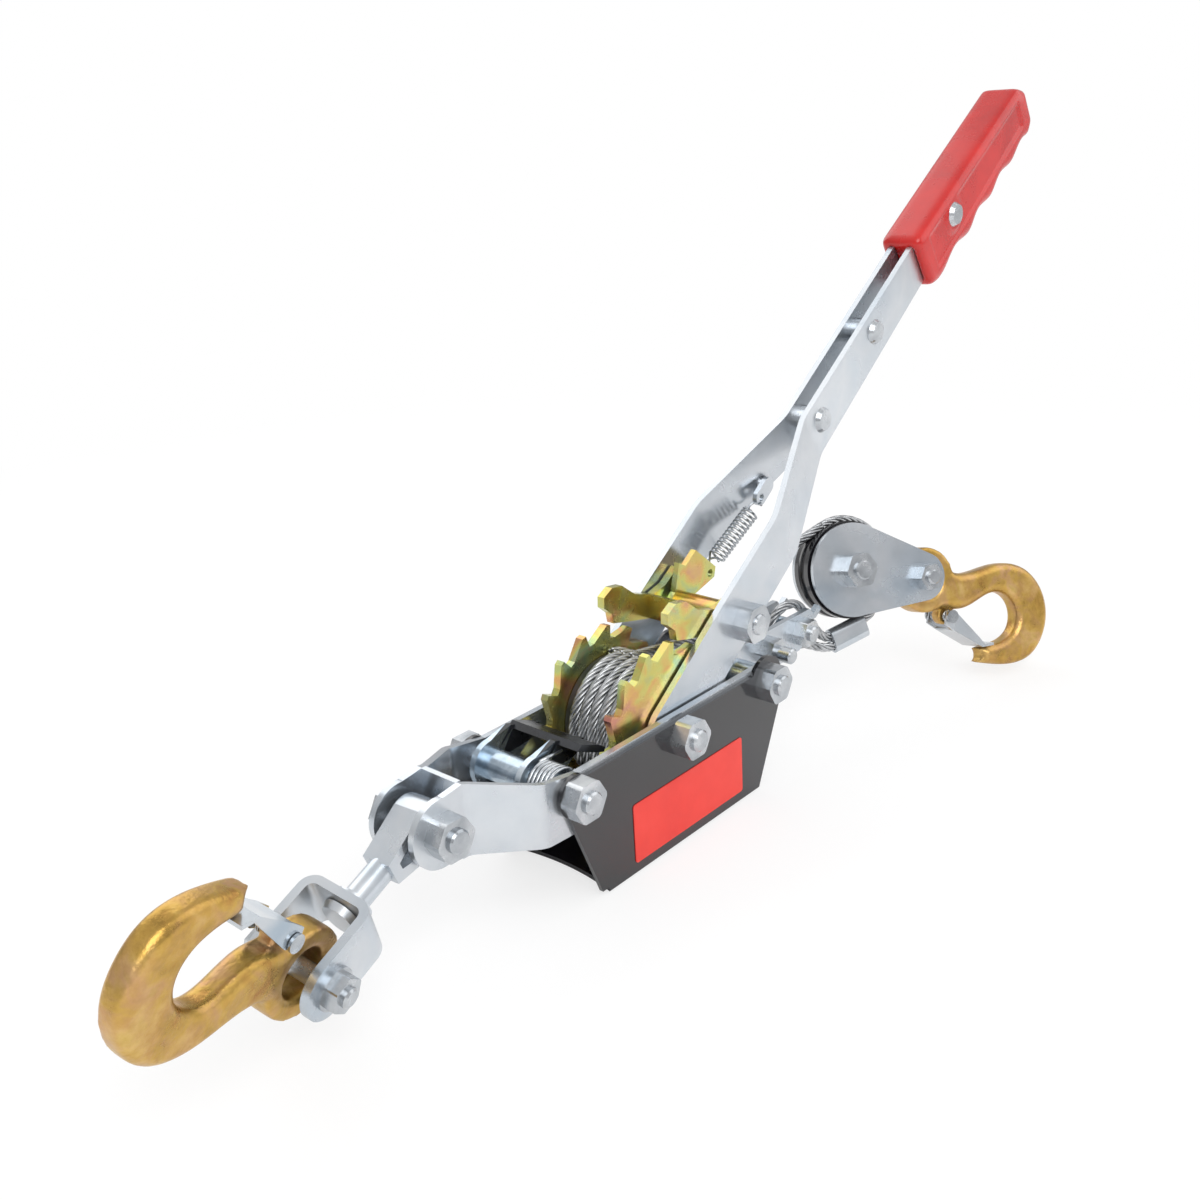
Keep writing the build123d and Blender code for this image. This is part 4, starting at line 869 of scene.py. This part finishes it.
@dataclass
class Springs:
    """The pawl's extension spring and the hold pawl's torsion spring."""

    paints: Paintbox
    places: Places

    def build(self) -> None:
        """Make both springs as wound wire."""
        wire = self.paints.get(SPRING_WIRE)
        self._extension(wire)
        self._torsion(wire)
        for end in ("front", "rear"):
            self._latch(wire, end)

    def _latch(self, wire: bpy.types.Material, end: str) -> None:
        """Small coil round the latch pin on each side of the hook's lug."""
        joint = f"{end}_latch_swing"
        centre, across = self.places.centre(joint), self.places.axis(joint)
        middle = self.places.centre(f"{end}_hook_swing")
        centre = centre - across * (centre - middle).dot(across)
        vertices: list[Vector] = []
        faces: list[tuple[int, ...]] = []
        for way in (1, -1):
            route = coil(centre + across * (LATCH_COIL_OUT * way * MM), across * way,
                         LATCH_COIL_RADIUS * MM, LATCH_COIL_LENGTH * MM, LATCH_COIL_TURNS)
            tube(route, LATCH_WIRE * MM, 6, vertices, faces)
        made = mesh_object(f"{end}_latch_spring_wire", vertices, faces, wire)
        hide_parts(f"{end}_latch_spring")
        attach(made, f"{end}_latch")

    def _extension(self, wire: bpy.types.Material) -> None:
        """Wound spring between the pawl's ear and the tab on the far arm."""
        low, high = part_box("pawl_spring")
        first = Vector((low.x + EXTENSION_IN_X * MM, EXTENSION_LOW_Y * MM,
                        low.z + EXTENSION_IN_Z * MM))
        last = Vector((high.x - EXTENSION_IN_X * MM, EXTENSION_HIGH_Y * MM,
                       high.z - EXTENSION_IN_Z * MM))
        run = (last - first).normalized()
        shank = EXTENSION_SHANK * MM
        wound = (last - first).length - 2 * shank
        body = coil(first + run * shank, run, EXTENSION_RADIUS * MM, wound,
                    round(wound / (EXTENSION_PITCH * MM)))
        across = Vector((0, 1, 0))
        radius = END_LOOP_RADIUS * MM
        sweep = [math.pi * END_LOOP_SWEEP * index / END_LOOP_STEPS for index in range(END_LOOP_STEPS + 1)]
        route = [first + run * radius * (1 - math.cos(angle)) + across * math.sin(angle) * radius
                 for angle in reversed(sweep)]
        route += body
        route += [last - run * radius * (1 + math.cos(angle)) + across * math.sin(angle) * radius
                  for angle in sweep]
        vertices: list[Vector] = []
        faces: list[tuple[int, ...]] = []
        tube(route, EXTENSION_WIRE * MM, 8, vertices, faces)
        made = mesh_object("pawl_spring_wire", vertices, faces, wire)
        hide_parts("pawl_spring")
        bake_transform(made)

    def _torsion(self, wire: bpy.types.Material) -> None:
        """Wound spring round the front bolt's collar, with one leg on the hold pawl."""
        low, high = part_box("hold_spring")
        centre = self.places.centre("hold_pawl_swing")
        first = Vector((centre.x, high.y - TORSION_WIRE * MM, centre.z))
        length = high.y - low.y - 2 * TORSION_WIRE * MM
        body = coil(first, Vector((0, -1, 0)), TORSION_RADIUS * MM, length, TORSION_TURNS)
        vertices: list[Vector] = []
        faces: list[tuple[int, ...]] = []
        tube(body, TORSION_WIRE * MM, 8, vertices, faces)
        leg_x, leg_z = TORSION_LEG
        tube([Vector((centre.x, first.y, centre.z + TORSION_RADIUS * MM)),
              Vector((centre.x + leg_x * MM, first.y, centre.z + leg_z * MM))],
             TORSION_WIRE * MM, 8, vertices, faces)
        made = mesh_object("hold_spring_wire", vertices, faces, wire)
        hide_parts("hold_spring")
        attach(made, "frame")


# ------------------------------------------------------------------ studio
@dataclass
class Studio:
    """Floor, soft light and camera."""

    def build(self) -> None:
        """Make the studio."""
        floor = self._floor()
        lamps = [
            self._lamp("key_softbox", (-0.7, -1.0, 1.3), 1.2, 15.0),
            self._lamp("fill_softbox", (1.1, -0.9, 0.9), 1.4, 6.0),
            self._lamp("back_softbox", (0.3, 1.3, 1.1), 1.4, 8.0),
        ]
        self._world()
        self._camera()

    def _floor(self) -> bpy.types.Object:
        """Pale floor just below the housing."""
        half = 6.0
        material = bpy.data.materials.new("pale_floor")
        material.use_nodes = True
        tree = material.node_tree
        tree.nodes.clear()
        paint = add_node(tree, "ShaderNodeBsdfDiffuse", {"Color": linear("#f4f4f4")})
        glow = add_node(tree, "ShaderNodeEmission", {"Color": linear("#ffffff"), "Strength": 1.0})
        ray = add_node(tree, "ShaderNodeLightPath")
        place = add_node(tree, "ShaderNodeTexCoord")
        reach = add_node(tree, "ShaderNodeVectorMath", {
            0: place.outputs["Object"]}, operation="LENGTH")
        fade = add_node(tree, "ShaderNodeMapRange", {
            "Value": reach.outputs["Value"], "From Min": 0.3, "From Max": 1.0, "To Min": 0.72, "To Max": 1.0})
        share = add_node(tree, "ShaderNodeMath", {
            0: ray.outputs["Is Camera Ray"], 1: fade.outputs["Result"]}, operation="MULTIPLY")
        mixed = add_node(tree, "ShaderNodeMixShader", {
            0: share.outputs[0], 1: paint.outputs[0], 2: glow.outputs[0]})
        add_node(tree, "ShaderNodeOutputMaterial", {"Surface": mixed.outputs[0]})
        corners = [Vector((x * half, y * half, -MM)) for x, y in ((-1, -1), (1, -1), (1, 1), (-1, 1))]
        return mesh_object("studio_floor", corners, [(0, 1, 2, 3)], material)

    def _lamp(self, name: str, place: tuple[float, float, float], size: float,
              power: float) -> bpy.types.Object:
        """Square area lamp that faces the object.

        Args:
            name: Object name.
            place: Where it stands, in metres.
            size: Side of the square, in metres.
            power: Power in watts.

        Returns:
            The linked lamp.
        """
        data = bpy.data.lights.new(name, "AREA")
        data.size = size
        data.energy = power
        lamp = bpy.data.objects.new(name, data)
        lamp.location = place
        lamp.rotation_mode = "QUATERNION"
        lamp.rotation_quaternion = (Vector((0, 0, 0.08)) - Vector(place)).to_track_quat("-Z", "Y")
        bpy.context.scene.collection.objects.link(lamp)
        return lamp

    def _world(self) -> None:
        """Even pale surroundings, white to the camera."""
        world = bpy.data.worlds.new("studio_world")
        bpy.context.scene.world = world
        world.use_nodes = True
        tree = world.node_tree
        tree.nodes.clear()
        place = add_node(tree, "ShaderNodeTexCoord")
        split = add_node(tree, "ShaderNodeSeparateXYZ", {0: place.outputs["Generated"]})
        tone = add_node(tree, "ShaderNodeValToRGB", {"Fac": split.outputs["Z"]})
        tone.color_ramp.elements[0].position = 0.0
        tone.color_ramp.elements[0].color = (0.66, 0.66, 0.67, 1)
        tone.color_ramp.elements[1].position = 0.75
        tone.color_ramp.elements[1].color = (1, 1, 1, 1)
        ray = add_node(tree, "ShaderNodeLightPath")
        plain = add_node(tree, "ShaderNodeBackground", {"Color": (1, 1, 1, 1), "Strength": 1.0})
        lit = add_node(tree, "ShaderNodeBackground", {"Color": tone.outputs["Color"], "Strength": 0.78})
        mixed = add_node(tree, "ShaderNodeMixShader", {
            0: ray.outputs["Is Camera Ray"], 1: lit.outputs[0], 2: plain.outputs[0]})
        add_node(tree, "ShaderNodeOutputWorld", {"Surface": mixed.outputs[0]})

    def _camera(self) -> None:
        """Camera at the shared viewing angle."""
        data = bpy.data.cameras.new("studio_camera")
        data.lens = CAMERA_LENS
        data.sensor_width = SENSOR
        data.clip_start = 0.01
        data.clip_end = 50
        camera = bpy.data.objects.new("studio_camera", data)
        azimuth, elevation = math.radians(CAMERA_AZIMUTH), math.radians(CAMERA_ELEVATION)
        back = Vector((math.sin(azimuth) * math.cos(elevation), -math.cos(azimuth) * math.cos(elevation),
                       math.sin(elevation)))
        level = (-back).to_track_quat("-Z", "Y")
        roll = Quaternion((0, 0, 1), math.radians(CAMERA_ROLL))
        camera.rotation_mode = "QUATERNION"
        camera.rotation_quaternion = level @ roll
        camera.location = CAMERA_PLACE
        bpy.context.scene.collection.objects.link(camera)
        bpy.context.scene.camera = camera


def main() -> None:
    """Load the frame, dress it, add the rope, springs and studio, and finish."""
    logging.basicConfig(level=logging.INFO)
    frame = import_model()
    paints = Paintbox()
    places = Places({joint["name"]: joint for joint in frame["joints"]})
    steps: list[Callable[[], None]] = [
        PlainMetal(paints, places, frame["nodes"]).dress,
        RoundedPieces(paints, places, frame["nodes"]).build,
        WoundRope(paints, places).build,
        Springs(paints, places).build,
        Studio().build,
    ]
    for step in steps:
        step()
    bpy.context.scene.view_settings.view_transform = "Standard"
    LOG.info("pieces in place")


if __name__ == "__main__":
    main()
